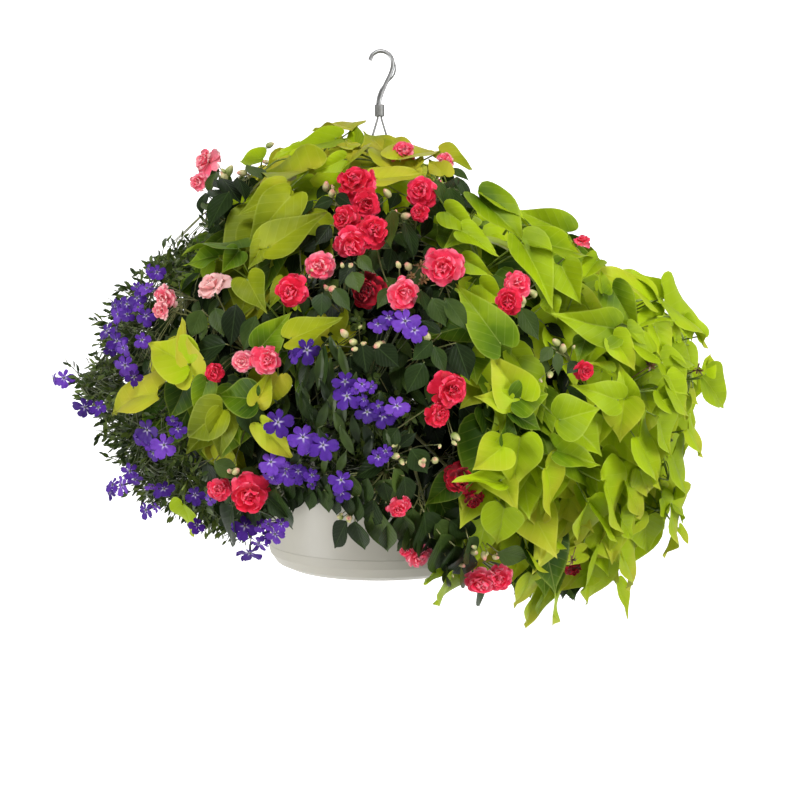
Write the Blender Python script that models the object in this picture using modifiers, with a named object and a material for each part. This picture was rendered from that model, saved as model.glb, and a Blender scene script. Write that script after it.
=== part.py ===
"""A mixed hanging basket, in metres, with +Z up and the hang point at the origin."""

import math
import random

import bmesh
import bpy
from mathutils import Matrix, Vector
from mathutils.bvhtree import BVHTree

OBJECT_NAME = "mixed_hanging_basket"
CUTTERS_NAME = "cutters"
TURN = 2.0 * math.pi
SEAT = 0.0003
SEED = 12

# Sight lines of the photo, which turn a picture point into a place
PHOTO_CENTRE = 400.0
FOCAL_PX = 2017.0
METRES_PER_PX = 0.00119
EYE = Vector((0.0241, -2.4, -0.1452))
PITCH = math.radians(6.3)

# Pot, saucer and soil
POT_STEPS = 28
BASE_Z = -0.6085
SEAM_Z = BASE_Z + 0.0285
RIM_Z = BASE_Z + 0.178
FLOOR_Z = BASE_Z + 0.007
WALL = 0.0024
RIM_RADIUS = 0.1525
RIM_INNER = 0.1445
SOIL_Z = RIM_Z - 0.018
HOLE_DEPTH = 0.036
HOLE_TOP = 0.010
HOLE_RADIUS = 0.0062

# Hanger
ROD_RADIUS = 0.00225
WIRE_RADIUS = 0.0011
SLEEVE_RADIUS = 0.0056
SLEEVE_TOP = -0.060
SLEEVE_BOTTOM = -0.074
WIRE_HOLE_DEPTH = 0.006
WIRE_RING = 0.0030
RIM_HOLE_RING = 0.1485
RIM_HOLE_RADIUS = 0.0017
WIRE_ANGLES = (45.0, 135.0, 225.0, 315.0)
HOOK_LINE = (
    (-0.0112, -0.0085), (-0.0088, -0.0028), (-0.0048, 0.0005), (0.0000, 0.00225), (0.0064, 0.0013),
    (0.0118, -0.0022), (0.0150, -0.0080), (0.0154, -0.0150), (0.0130, -0.0240), (0.0076, -0.0352),
    (0.0030, -0.0460), (0.0, -0.0560), (0.0, -0.0660),
)

# Body of the foliage
CANOPY_AX = 0.405
CANOPY_AY = 0.345
CANOPY_AZ = 0.315

# Blades, stalks and heads
BLADE = 0.0009
STALK_RADIUS = 0.0012
THIN_STALK = 0.0009
STEM_RADIUS = 0.0030
THIN_STEM = 0.0020
CLEAR = 0.0004
PETALS = 4
ROOT_DEPTH = 0.0016
JOINT_FACES = 2
HEAD_RISE = 0.006
HUB_RADIUS = 0.0030
HUB_STEP = 0.0002
HUB_STEPS = 28
BLOOM_SEAT = -0.06
FLOWER_SEAT = 0.30
LIME_SHAPE = 0.85
IMPATIENS_SHAPE = 0.55
FINE_END = 0.00040
BIG_LEAF_PX = 34
STALK_LIMIT = 0.19
SHIFTS = (0.0, -0.006, 0.007, -0.013, 0.015, 0.024, -0.020, 0.036, 0.050)
STEM_TRIES = 40
BEND_START = 0.003
BEND_STEP = 0.0006
BRANCH_START = 0.85
BRANCH_END = 0.60
NODE_SWELL = 1.7
CARRIER_STEP = 0.012
TRIANGLE_WAYS = ((0.2, "BEAUTY"), (0.2, "EAR_CLIP"), (0.05, "BEAUTY"), (0.05, "EAR_CLIP"), (0.0, "BEAUTY"),
                 (0.0, "EAR_CLIP"))
THIN_STEPS = (1.0, 1.03, 1.06, 1.1, 1.15, 1.2, 1.3)

# Back leaves and lobelia shoots
GOLDEN_TURN = math.pi * (3.0 - math.sqrt(5.0))
BACK_SPOTS = 104
BACK_START = 0.08
BACK_LOWEST = -0.75
BACK_SHARES = (0.96, 0.90, 0.84)
SHOOT_LEAVES = 2
SHOOT_STEP = 0.012
SHOOT_LEAF_LENGTH = 0.017
SHOOT_LEAF_WIDTH = 0.0036
SHOOT_DROOP = 0.10

# Outlines as (along, across) pairs, from the stalk end round to the tip and back
HEART = ((0.12, 0.0), (-0.09, 0.50), (0.16, 1.0), (0.56, 0.70), (1.04, 0.0),
         (0.56, -0.70), (0.16, -1.0), (-0.09, -0.50))
SMALL_HEART = ((0.08, 0.0), (-0.02, 0.85), (0.46, 0.84), (1.03, 0.0), (0.46, -0.84), (-0.02, -0.85))
OVATE = ((0.0, 0.0), (0.26, 0.88), (0.62, 0.86), (1.04, 0.0), (0.62, -0.86), (0.26, -0.88))
LANCE = ((0.0, 0.0), (0.45, 1.0), (1.0, 0.0), (0.45, -1.0))

PAINTS = {
    "pot_plastic": ((0.66, 0.64, 0.58), 0.42, 0.0),
    "saucer_plastic": ((0.64, 0.62, 0.56), 0.42, 0.0),
    "compost": ((0.035, 0.022, 0.013), 0.95, 0.0),
    "galvanised_steel": ((0.55, 0.56, 0.57), 0.28, 1.0),
    "lime_leaf": ((0.36, 0.46, 0.035), 0.45, 0.0),
    "impatiens_leaf": ((0.035, 0.085, 0.028), 0.40, 0.0),
    "lobelia_leaf": ((0.08, 0.15, 0.035), 0.55, 0.0),
    "red_petal": ((0.78, 0.022, 0.055), 0.50, 0.0),
    "violet_petal": ((0.13, 0.045, 0.48), 0.55, 0.0),
}


def sight(px, py):
    """Direction from the eye through a picture point."""
    across = (px - PHOTO_CENTRE) / FOCAL_PX
    rise = (PHOTO_CENTRE - py) / FOCAL_PX
    forward = math.cos(PITCH) + rise * math.sin(PITCH)
    up = rise * math.cos(PITCH) - math.sin(PITCH)
    return Vector((across, forward, up))


def place(px, py, depth):
    """The place at a depth behind (+) or before (-) the hanging axis."""
    ray = sight(px, py)
    return EYE + ray * ((depth - EYE.y) / ray.y)


CANOPY_CENTRE = place(395.0, 385.0, 0.0)


def front_depth(px, py):
    """Depth of the foliage's front surface at a picture point."""
    spot = place(px, py, 0.0) - CANOPY_CENTRE
    room = 1.0 - (spot.x / CANOPY_AX) ** 2 - (spot.z / CANOPY_AZ) ** 2
    return -CANOPY_AY * math.sqrt(max(room, 0.0))


def outward(spot):
    """Direction that faces out of the foliage at a place."""
    away = spot - CANOPY_CENTRE
    slope = Vector((away.x / CANOPY_AX ** 2, away.y / CANOPY_AY ** 2, away.z / CANOPY_AZ ** 2))
    return slope.normalized()


def paint(name):
    """The material of that name, made once."""
    found = bpy.data.materials.get(name)
    if found:
        return found
    colour, roughness, metallic = PAINTS[name]
    made = bpy.data.materials.new(name)
    made.use_nodes = True
    shader = made.node_tree.nodes["Principled BSDF"]
    shader.inputs["Base Color"].default_value = (*colour, 1.0)
    shader.inputs["Roughness"].default_value = roughness
    shader.inputs["Metallic"].default_value = metallic
    made.diffuse_color = (*colour, 1.0)
    return made


def clear_scene():
    """Take every object out of the starting scene."""
    for item in list(bpy.data.objects):
        bpy.data.objects.remove(item, do_unlink=True)


def group(name, hidden=False):
    """A collection in the scene."""
    made = bpy.data.collections.new(name)
    bpy.context.scene.collection.children.link(made)
    made.hide_render = hidden
    return made


def add_object(name, mesh, home, material=None):
    """An object for a mesh, linked to one collection."""
    item = bpy.data.objects.new(name, mesh)
    home.objects.link(item)
    if material:
        mesh.materials.append(paint(material))
    return item


def shade_smooth(mesh):
    """Round pieces are shaded smooth."""
    for face in mesh.polygons:
        face.use_smooth = True


def lathe(name, profile, home, material):
    """A body turned about the hanging axis from a profile of (radius, height) points."""
    mesh = bpy.data.meshes.new(name)
    line = bmesh.new()
    points = [line.verts.new((radius, 0.0, height)) for radius, height in profile]
    for start, end in zip(points, points[1:]):
        line.edges.new((start, end))
    line.to_mesh(mesh)
    line.free()
    item = add_object(name, mesh, home, material)
    turn = item.modifiers.new("turn", "SCREW")
    turn.axis = "Z"
    turn.angle = TURN
    turn.steps = POT_STEPS
    turn.render_steps = POT_STEPS
    turn.use_merge_vertices = True
    turn.merge_threshold = 0.0001
    turn.use_smooth_shade = True
    return item


def cutter(name, radius, height, spot, sides, home):
    """An upright cylinder that cuts a hole; the spot is its middle."""
    shape = bmesh.new()
    bmesh.ops.create_cone(shape, cap_ends=True, segments=sides, radius1=radius, radius2=radius,
                          depth=height, matrix=Matrix.Translation(spot))
    mesh = bpy.data.meshes.new(name)
    shape.to_mesh(mesh)
    shape.free()
    item = add_object(name, mesh, home)
    item.display_type = "WIRE"
    item.hide_render = True
    return item


def cut_with(item, tools):
    """Take each tool away from the item."""
    for tool in tools:
        step = item.modifiers.new(tool.name, "BOOLEAN")
        step.operation = "DIFFERENCE"
        step.solver = "EXACT"
        step.object = tool


def bake(item):
    """Turn the item's modifiers into its own mesh."""
    bpy.context.view_layer.update()
    graph = bpy.context.evaluated_depsgraph_get()
    mesh = bpy.data.meshes.new_from_object(item.evaluated_get(graph))
    item.modifiers.clear()
    item.data = mesh
    return mesh


def on_ring(radius, degrees, height):
    """A place on a ring about the hanging axis."""
    turn = math.radians(degrees)
    return Vector((radius * math.cos(turn), radius * math.sin(turn), height))


def build_pot(home, cutters):
    """The pot: a tapered shell with a floor and a flanged rim with four wire holes."""
    profile = (
        (0.0, FLOOR_Z + WALL), (0.1010, FLOOR_Z + WALL), (0.1180, FLOOR_Z + 0.0085),
        (0.1300, SEAM_Z + 0.0120), (RIM_INNER, RIM_Z), (RIM_RADIUS, RIM_Z), (RIM_RADIUS, RIM_Z - 0.0035),
        (RIM_INNER + 0.0020, RIM_Z - 0.0050), (0.1342, SEAM_Z + 0.0006), (0.1290, SEAM_Z + 0.0003),
        (0.1190, FLOOR_Z + 0.0055), (0.1020, FLOOR_Z), (0.0, FLOOR_Z),
    )
    pot = lathe("pot", profile, home, "pot_plastic")
    tools = []
    for count, degrees in enumerate(WIRE_ANGLES):
        spot = on_ring(RIM_HOLE_RING, degrees, RIM_Z - 0.002)
        tools.append(cutter(f"rim_hole_{count}", RIM_HOLE_RADIUS, 0.02, spot, 6, cutters))
    cut_with(pot, tools)
    shade_smooth(bake(pot))
    return pot


def build_saucer(home):
    """The drip saucer, flush with the pot's wall."""
    profile = (
        (0.0, BASE_Z + WALL), (0.0985, BASE_Z + WALL), (0.1210, BASE_Z + 0.0100), (0.1302, SEAM_Z),
        (0.1338, SEAM_Z), (0.1320, BASE_Z + 0.0175), (0.1245, BASE_Z + 0.0068), (0.1120, BASE_Z + 0.0010),
        (0.1010, BASE_Z), (0.0, BASE_Z),
    )
    saucer = lathe("saucer", profile, home, "saucer_plastic")
    shade_smooth(bake(saucer))
    return saucer


def build_soil(home, cutters, holes):
    """The compost in the pot, with a plain hole for each plant."""
    profile = (
        (0.0, SOIL_Z + 0.004), (0.110, SOIL_Z), (0.1395, SOIL_Z - 0.003),
        (0.1292, SEAM_Z + 0.0140), (0.1170, FLOOR_Z + 0.0100),
        (0.1000, FLOOR_Z + WALL + SEAT), (0.0, FLOOR_Z + WALL + SEAT),
    )
    soil = lathe("soil", profile, home, "compost")
    tools = []
    for count, (x, y) in enumerate(holes):
        spot = Vector((x, y, SOIL_Z + HOLE_TOP - HOLE_DEPTH / 2.0))
        tools.append(cutter(f"plant_hole_{count}", HOLE_RADIUS, HOLE_DEPTH, spot, 4, cutters))
    cut_with(soil, tools)
    shade_smooth(bake(soil))
    return soil


def rod(name, points, radius, home, material):
    """A round rod bent along points, with closed ends."""
    curve = bpy.data.curves.new(name, "CURVE")
    curve.dimensions = "3D"
    curve.bevel_depth = radius
    curve.bevel_resolution = 2
    curve.use_fill_caps = True
    line = curve.splines.new("POLY")
    line.points.add(len(points) - 1)
    for slot, spot in zip(line.points, points):
        slot.co = (*spot, 1.0)
    bent = bpy.data.objects.new(name, curve)
    home.objects.link(bent)
    bpy.context.view_layer.update()
    graph = bpy.context.evaluated_depsgraph_get()
    mesh = bpy.data.meshes.new_from_object(bent.evaluated_get(graph))
    place_matrix = bent.matrix_world.copy()
    bpy.data.objects.remove(bent, do_unlink=True)
    shape = bmesh.new()
    shape.from_mesh(mesh)
    bmesh.ops.remove_doubles(shape, verts=shape.verts[:], dist=0.00001)
    bmesh.ops.recalc_face_normals(shape, faces=shape.faces[:])
    shape.to_mesh(mesh)
    shape.free()
    mesh.name = name
    item = add_object(name, mesh, home, material)
    item.matrix_world = place_matrix
    shade_smooth(mesh)
    return item


def build_hook(home, cutters):
    """The hook, with a crimp sleeve that has a blind hole for each wire."""
    points = [Vector((x, 0.0, z)) for x, z in HOOK_LINE]
    hook = rod("hook", points, ROD_RADIUS, home, "galvanised_steel")
    middle = Vector((0.0, 0.0, (SLEEVE_TOP + SLEEVE_BOTTOM) / 2.0))
    sleeve = cutter("sleeve", SLEEVE_RADIUS, SLEEVE_TOP - SLEEVE_BOTTOM, middle, 10, cutters)
    join = hook.modifiers.new("sleeve", "BOOLEAN")
    join.operation = "UNION"
    join.solver = "EXACT"
    join.object = sleeve
    tools = []
    for count, degrees in enumerate(WIRE_ANGLES):
        spot = on_ring(WIRE_RING, degrees, SLEEVE_BOTTOM)
        tools.append(cutter(f"wire_hole_{count}", WIRE_RADIUS + SEAT, 2.0 * WIRE_HOLE_DEPTH, spot, 6,
                            cutters))
    cut_with(hook, tools)
    bake(hook)
    return hook


def build_wire(home, count, degrees):
    """One hanger wire, from its hole in the sleeve through the rim to a short turned end."""
    tip = SLEEVE_BOTTOM + WIRE_HOLE_DEPTH - SEAT
    points = (
        on_ring(WIRE_RING, degrees, tip),
        on_ring(WIRE_RING, degrees, SLEEVE_BOTTOM - 0.002),
        on_ring(RIM_HOLE_RING - 0.0055, degrees, RIM_Z + 0.022),
        on_ring(RIM_HOLE_RING, degrees, RIM_Z + 0.008),
        on_ring(RIM_HOLE_RING, degrees, RIM_Z - 0.0085),
        on_ring(RIM_HOLE_RING + 0.0036, degrees, RIM_Z - 0.0115),
        on_ring(RIM_HOLE_RING + 0.0068, degrees, RIM_Z - 0.0075),
    )
    return rod(f"wire_{count + 1}", points, WIRE_RADIUS, home, "galvanised_steel")


def flat_blade(outline):
    """A blade drawn flat with two faces; the upper one is at height 1."""
    shape = bmesh.new()
    made = bmesh.ops.create_circle(shape, cap_ends=True, segments=len(outline), radius=1.0)
    for vert, (along, across) in zip(made["verts"], outline):
        vert.co = (along, across, 0.0)
    middle = [vert for vert in made["verts"] if vert.co.y == 0.0]
    bmesh.ops.connect_verts(shape, verts=middle)
    bmesh.ops.triangulate(shape, faces=shape.faces[:], ngon_method="EAR_CLIP")
    raised = bmesh.ops.extrude_face_region(shape, geom=shape.faces[:])
    for item in raised["geom"]:
        if isinstance(item, bmesh.types.BMVert):
            item.co.z = 1.0
    bmesh.ops.triangulate(shape, faces=shape.faces[:])
    return face_out(shape)


def blade(flat, base, tip, normal, width, fold, droop, grow):
    """A bent blade from its stalk end to its tip."""
    shape = flat.copy()
    reach = tip - base
    length = reach.length
    ahead = reach.normalized()
    side = normal.cross(ahead).normalized()
    over = ahead.cross(side)
    for vert in shape.verts:
        along, across, level = vert.co
        spread = across * (width / 2.0 + grow)
        lift = abs(across) * width * fold - along * along * length * droop
        lift += (level - 0.5) * (BLADE + 2.0 * grow)
        vert.co = base + ahead * (along * (length + grow)) + side * spread + over * lift
    return face_out(shape)


def face_out(shape):
    """Turn every face of a closed body outward."""
    bmesh.ops.recalc_face_normals(shape, faces=shape.faces[:])
    if shape.calc_volume(signed=True) < 0.0:
        bmesh.ops.reverse_faces(shape, faces=shape.faces[:])
    return shape


def stack(rings):
    """A closed body drawn through rings of points, one ring after another."""
    shape = bmesh.new()
    made = bmesh.ops.create_circle(shape, cap_ends=True, segments=len(rings[0]), radius=1.0)
    row = list(made["verts"])
    for vert, spot in zip(row, rings[0]):
        vert.co = spot
    first = cap = shape.faces[:][0]
    for ring in rings[1:]:
        below = cap
        raised = bmesh.ops.extrude_face_region(shape, geom=[cap])["geom"]
        fresh = [item for item in raised if isinstance(item, bmesh.types.BMVert)]
        cap = [item for item in raised if isinstance(item, bmesh.types.BMFace)][0]
        if below is not first:
            bmesh.ops.delete(shape, geom=[below], context="FACES_ONLY")
        row = [min(fresh, key=lambda near, old=old: (near.co - old.co).length) for old in row]
        for vert, spot in zip(row, ring):
            vert.co = spot
    bmesh.ops.triangulate(shape, faces=shape.faces[:])
    return face_out(shape)


def cross_axes(ahead):
    """Two directions square to a direction."""
    guide = Vector((0.0, 0.0, 1.0)) if abs(ahead.z) < 0.9 else Vector((1.0, 0.0, 0.0))
    side = ahead.cross(guide).normalized()
    return side, ahead.cross(side).normalized()


def tube(points, start_radius, end_radius, sides):
    """A tapered stalk along points."""
    rings = []
    last = len(points) - 1
    side = None
    for count, spot in enumerate(points):
        ahead = (points[min(count + 1, last)] - points[max(count - 1, 0)]).normalized()
        if side is None:
            side, over = cross_axes(ahead)
        else:
            side = (side - ahead * side.dot(ahead)).normalized()
            over = ahead.cross(side)
        radius = start_radius + (end_radius - start_radius) * count / last
        ring = []
        for step in range(sides):
            turn = TURN * step / sides
            ring.append(spot + side * (radius * math.cos(turn)) + over * (radius * math.sin(turn)))
        rings.append(ring)
    return stack(rings)


def ball(spot, radius, ahead=Vector((0.0, 0.0, 1.0))):
    """A small eight-sided bead with a corner ahead, for a bud or a joint of stalks."""
    shape = bmesh.new()
    turned = ahead.to_track_quat("Z", "Y").to_matrix().to_4x4()
    bmesh.ops.create_uvsphere(shape, u_segments=4, v_segments=2, radius=radius,
                              matrix=Matrix.Translation(spot) @ turned)
    bmesh.ops.triangulate(shape, faces=shape.faces[:])
    return shape


def lobed_ring(spot, facing, turn, lobes, outer, inner, height):
    """A ring of points that swells at each petal and dips between them."""
    side, over = cross_axes(facing)
    ring = []
    for step in range(lobes * 2):
        angle = turn + math.pi * step / lobes
        radius = inner if step % 2 else outer
        ring.append(spot + facing * height + side * (radius * math.cos(angle))
                    + over * (radius * math.sin(angle)))
    return ring


def rosette(spot, facing, radius, turn, grow):
    """A double bloom: two layers of petals about a raised heart."""
    big = radius + grow
    half = math.pi / PETALS
    layers = ((turn, 1.00, 0.80, -0.14), (turn + half, 0.74, 0.56, 0.16), (turn, 0.34, 0.24, 0.42))
    rings = []
    for angle, outer, inner, height in layers:
        rings.append(lobed_ring(spot, facing, angle, PETALS, outer * big, inner * big, height * big))
    return stack(rings)


def funnel_flower(spot, facing, radius, turn, grow):
    """A five-petalled lobelia flower that narrows to its tube."""
    big = radius + grow
    shape = bmesh.new()
    bmesh.ops.create_uvsphere(shape, u_segments=10, v_segments=2, radius=1.0)
    ends = sorted(shape.verts, key=lambda vert: vert.co.z)
    rim = sorted(ends[1:-1], key=lambda vert: math.atan2(vert.co.y, vert.co.x))
    ends[0].co = spot - facing * (0.62 * big + grow)
    ends[-1].co = spot - facing * (0.06 * big - grow)
    for vert, place_on_rim in zip(rim, lobed_ring(spot, facing, turn, 5, big, 0.48 * big, 0.0)):
        vert.co = place_on_rim
    bmesh.ops.triangulate(shape, faces=shape.faces[:])
    return face_out(shape)


class Standing:
    """Everything placed so far, with the trees that tell what crosses what."""

    def __init__(self):
        self.entries = []

    def add(self, shape, owner):
        """Remember a placed shape and whose it is."""
        low, high = extent(shape)
        self.entries.append((owner, low, high, BVHTree.FromBMesh(shape)))

    def add_mesh(self, item):
        """Remember a finished object."""
        shape = bmesh.new()
        shape.from_mesh(item.data)
        shape.transform(item.matrix_world)
        self.add(shape, item.name)
        shape.free()

    def is_clear(self, shape, owner):
        """Whether the shape crosses nothing that belongs to another."""
        low, high = extent(shape)
        tree = None
        for other, other_low, other_high, other_tree in self.entries:
            if other == owner or not boxes_meet(low, high, other_low, other_high):
                continue
            if tree is None:
                tree = BVHTree.FromBMesh(shape)
            if tree.overlap(other_tree):
                return False
        return True


def extent(shape):
    """Lowest and highest corner of a shape."""
    spots = [vert.co for vert in shape.verts]
    low = [min(spot[axis] for spot in spots) for axis in range(3)]
    high = [max(spot[axis] for spot in spots) for axis in range(3)]
    return low, high


def boxes_meet(low, high, other_low, other_high):
    """Whether two boxes share any room."""
    return all(low[axis] <= other_high[axis] and other_low[axis] <= high[axis] for axis in range(3))


class Plant:
    """One node of a plant: its shapes, and its stem points that carry stalks."""

    def __init__(self, name, material):
        self.name = name
        self.material = material
        self.shapes = []
        self.carriers = []

    def take(self, shape, standing, is_blade=False):
        """Make the shape part of this plant; a blade keeps clear of its own plant too."""
        standing.add(shape, self.name + "_blades" if is_blade else self.name)
        self.shapes.append(shape)


def spaced(points, step):
    """Points at even steps along a line of points."""
    found = []
    for start, end in zip(points, points[1:]):
        count = max(1, int((end - start).length / step))
        for part in range(count):
            found.append(start.lerp(end, part / count))
    found.append(points[-1])
    return found


def stem_points(row):
    """Places of a stem row given as (x, y, share of the way out to the front)."""
    return [place(px, py, front_depth(px, py) * share) for px, py, share in row]


def jittered(points, rng, reach):
    """The same line with its inner points moved a little."""
    moved = [points[0]]
    for spot in points[1:]:
        shift = Vector((rng.uniform(-1, 1), rng.uniform(-1, 1), rng.uniform(-1, 1))) * reach
        moved.append(spot + shift)
    return moved


def grow_stem(plant, points, radii, rng, standing, fixed=1):
    """Add a stem that crosses no other plant, bending it a little beyond its fixed points."""
    for attempt in range(STEM_TRIES):
        reach = BEND_START + BEND_STEP * attempt if attempt else 0.0
        line = points[:fixed] + jittered(points, rng, reach)[fixed:]
        test = tube(line, radii[0] + CLEAR, radii[1] + CLEAR, 5)
        if standing.is_clear(test, plant.name):
            test.free()
            plant.take(tube(line, radii[0], radii[1], 3), standing)
            plant.carriers += spaced(line, CARRIER_STEP)
            return line
        test.free()
    return None


def over_rim(goal):
    """Points that carry a low stem over the rim on its way to the goal."""
    if goal.z > RIM_Z + 0.05:
        return []
    turn = math.degrees(math.atan2(goal.y, goal.x))
    inside = on_ring(RIM_RADIUS - 0.010, turn, RIM_Z + 0.026)
    return [inside, on_ring(RIM_RADIUS + 0.014, turn, RIM_Z + 0.018)]


def grow_frame(name, material, hole, trunk, branches, radius, standing, rng):
    """A plant's stems: a trunk from its hole, and branches from the trunk's end."""
    plant = Plant(name, material)
    x, y = hole
    foot = [Vector((x, y, SOIL_Z + HOLE_TOP - HOLE_DEPTH + SEAT)), Vector((x, y, SOIL_Z + 0.030))]
    outer = stem_points(trunk)
    rise = foot + over_rim(outer[0]) + outer
    line = grow_stem(plant, rise, (radius, radius * BRANCH_START), rng, standing, len(foot))
    if line is None:
        return plant
    plant.take(ball(line[-1], radius * NODE_SWELL), standing)
    for branch in branches:
        reach = [line[-1]] + stem_points(branch)
        grow_stem(plant, reach, (radius * BRANCH_START, radius * BRANCH_END), rng, standing)
    return plant


def blade_normal(base, tip, width, span, spot):
    """Normal that shows the blade as wide as the photo does, leaning out of the foliage."""
    ahead = (tip - base).normalized()
    to_eye = (EYE - spot).normalized()
    face_on = (to_eye - ahead * to_eye.dot(ahead)).normalized()
    lean = math.acos(max(0.12, min(1.0, span / width)))
    wanted = (outward(spot) + Vector((0.0, 0.0, 0.5))).normalized()
    options = [Matrix.Rotation(sign * lean, 3, ahead) @ face_on for sign in (-1.0, 1.0)]
    return max(options, key=lambda option: option.dot(wanted))


def leaf_ends(row, shift):
    """Stalk end and tip of a listed leaf, moved along the sight line by a shift."""
    base_x, base_y, tip_x, tip_y, span = row[:5]
    length = math.hypot(tip_x - base_x, tip_y - base_y)
    full = max(length, span * 1.02)
    extra = math.sqrt(full * full - length * length) * METRES_PER_PX
    share = row[5] if len(row) > 5 else 1.0
    base_depth = front_depth(base_x, base_y) * share
    tip_depth = front_depth(tip_x, tip_y) * share
    middle = (base_depth + tip_depth) / 2.0
    limit = full * METRES_PER_PX * 0.55
    base_depth = middle + max(-limit, min(limit, base_depth - middle))
    tip_depth = middle + max(-limit, min(limit, tip_depth - middle)) - extra
    return place(base_x, base_y, base_depth + shift), place(tip_x, tip_y, tip_depth + shift)


def stalk_routes(start, carriers, inward, rng):
    """Ways from a leaf to a carrier point: straight first, then bent."""
    near = sorted(carriers, key=lambda spot: (spot - start).length)
    picks = near[:1] + near[2:14:3] + near[16:40:8]
    for target in picks:
        if (target - start).length > STALK_LIMIT:
            break
        yield [start, target]
        middle = (start + target) / 2.0
        reach = (target - start).length
        for _ in range(3):
            bend = Vector((rng.uniform(-1, 1), rng.uniform(-1, 1), rng.uniform(-1, 1)))
            yield [start, middle + inward * (0.15 * reach) + bend * (0.22 * reach), target]


def stalk_root(base, tip, normal, notch, droop):
    """The point on a blade's midrib where its stalk ends, just inside the notch."""
    reach = tip - base
    start = base + reach * notch
    end = tip - normal * (reach.length * droop)
    return start + (end - start).normalized() * ROOT_DEPTH


def grow_leaf(plants, kind, base, tip, normal, width, bend, stalk, rng, standing):
    """Set a blade and its stalk on the nearest plant that can carry it."""
    flat, notch = kind
    bearing = [one for one in plants if one.carriers]
    ranked = sorted(bearing, key=lambda one: min((spot - base).length for spot in one.carriers))
    fold, droop = bend
    for plant in ranked[:2]:
        test = blade(flat, base, tip, normal, width, fold, droop, CLEAR)
        fits = standing.is_clear(test, plant.name)
        test.free()
        if not fits:
            continue
        root = stalk_root(base, tip, normal, notch, droop)
        for route in stalk_routes(root, plant.carriers, -normal, rng):
            test = tube(route, FINE_END + CLEAR, stalk + CLEAR, 3)
            fits = standing.is_clear(test, plant.name)
            test.free()
            if fits:
                plant.take(blade(flat, base, tip, normal, width, fold, droop, 0.0), standing, True)
                plant.take(tube(route, FINE_END, stalk, 3), standing)
                return True
    return False


def back_spots(count):
    """Directions spread evenly over the back, the top and the far sides of the foliage."""
    found = []
    for step in range(count):
        rise = 1.0 - 2.0 * (step + 0.5) / count
        turn = step * GOLDEN_TURN
        across = math.sqrt(1.0 - rise * rise)
        ahead = Vector((across * math.cos(turn), across * math.sin(turn), rise))
        if ahead.y > BACK_START and rise > BACK_LOWEST:
            found.append(ahead)
    return found


def on_canopy(ahead, share):
    """The place at a share of the way out to the foliage's surface."""
    reach = Vector((ahead.x * CANOPY_AX, ahead.y * CANOPY_AY, ahead.z * CANOPY_AZ))
    return CANOPY_CENTRE + reach * share


def grow_back(lime, impatiens, kinds, rng, standing):
    """Leaves over the back, which the photo hides, a little larger than life."""
    for count, ahead in enumerate(back_spots(BACK_SPOTS)):
        is_lime = count % 3 != 2
        plants = lime if is_lime else impatiens
        length = rng.uniform(0.068, 0.082) if is_lime else rng.uniform(0.050, 0.060)
        width = length * (0.90 if is_lime else 0.58)
        sway = Vector((rng.uniform(-0.7, 0.7), rng.uniform(-0.4, 0.4), 0.0))
        for share in BACK_SHARES:
            base = on_canopy(ahead, share)
            out = outward(base)
            hang = (Vector((0.0, 0.0, -1.0)) + out * 0.45 + sway).normalized()
            tip = base + hang * length
            normal = (out + Vector((0.0, 0.0, 0.4))).normalized()
            bend = (rng.uniform(0.03, 0.12), rng.uniform(0.04, 0.14))
            kind = kinds[0] if is_lime else kinds[1]
            if grow_leaf(plants, kind, base, tip, normal, width, bend, STALK_RADIUS, rng, standing):
                break


def grow_shoot(plants, row, flat, rng, standing):
    """A thin shoot from the nearest stem out to a listed tip, with narrow leaves along it."""
    px, py = row[:2]
    share = row[2] if len(row) > 2 else 1.0
    bearing = [one for one in plants if one.carriers]
    for shift in SHIFTS:
        tip = place(px, py, front_depth(px, py) * share + shift)
        ranked = sorted(bearing, key=lambda one: min((spot - tip).length for spot in one.carriers))
        plant = ranked[0]
        for route in stalk_routes(tip, plant.carriers, -outward(tip), rng):
            test = tube(route, THIN_STALK + CLEAR, THIN_STALK + CLEAR, 3)
            fits = standing.is_clear(test, plant.name)
            test.free()
            if fits:
                plant.take(tube(route, THIN_STALK, THIN_STALK, 3), standing)
                leaf_shoot(plant, route, flat, rng, standing)
                return True
    return False


def leaf_shoot(plant, route, flat, rng, standing):
    """Narrow leaves on a shoot, the first at its tip."""
    ahead = (route[0] - route[1]).normalized()
    side, over = cross_axes(ahead)
    reach = (route[0] - route[1]).length
    for count in range(SHOOT_LEAVES):
        root = route[0] - ahead * min(0.001 + SHOOT_STEP * count, 0.8 * reach)
        turn = rng.uniform(0.0, TURN)
        aside = side * math.cos(turn) + over * math.sin(turn)
        lean = 0.35 if count == 0 else 0.9
        tip = root + (ahead + aside * lean).normalized() * SHOOT_LEAF_LENGTH
        normal = ahead.cross(aside).cross(tip - root).normalized()
        test = blade(flat, root, tip, normal, SHOOT_LEAF_WIDTH, 0.0, SHOOT_DROOP, CLEAR)
        fits = standing.is_clear(test, plant.name)
        test.free()
        if fits:
            leaf = blade(flat, root, tip, normal, SHOOT_LEAF_WIDTH, 0.0, SHOOT_DROOP, 0.0)
            plant.take(leaf, standing, True)


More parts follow.
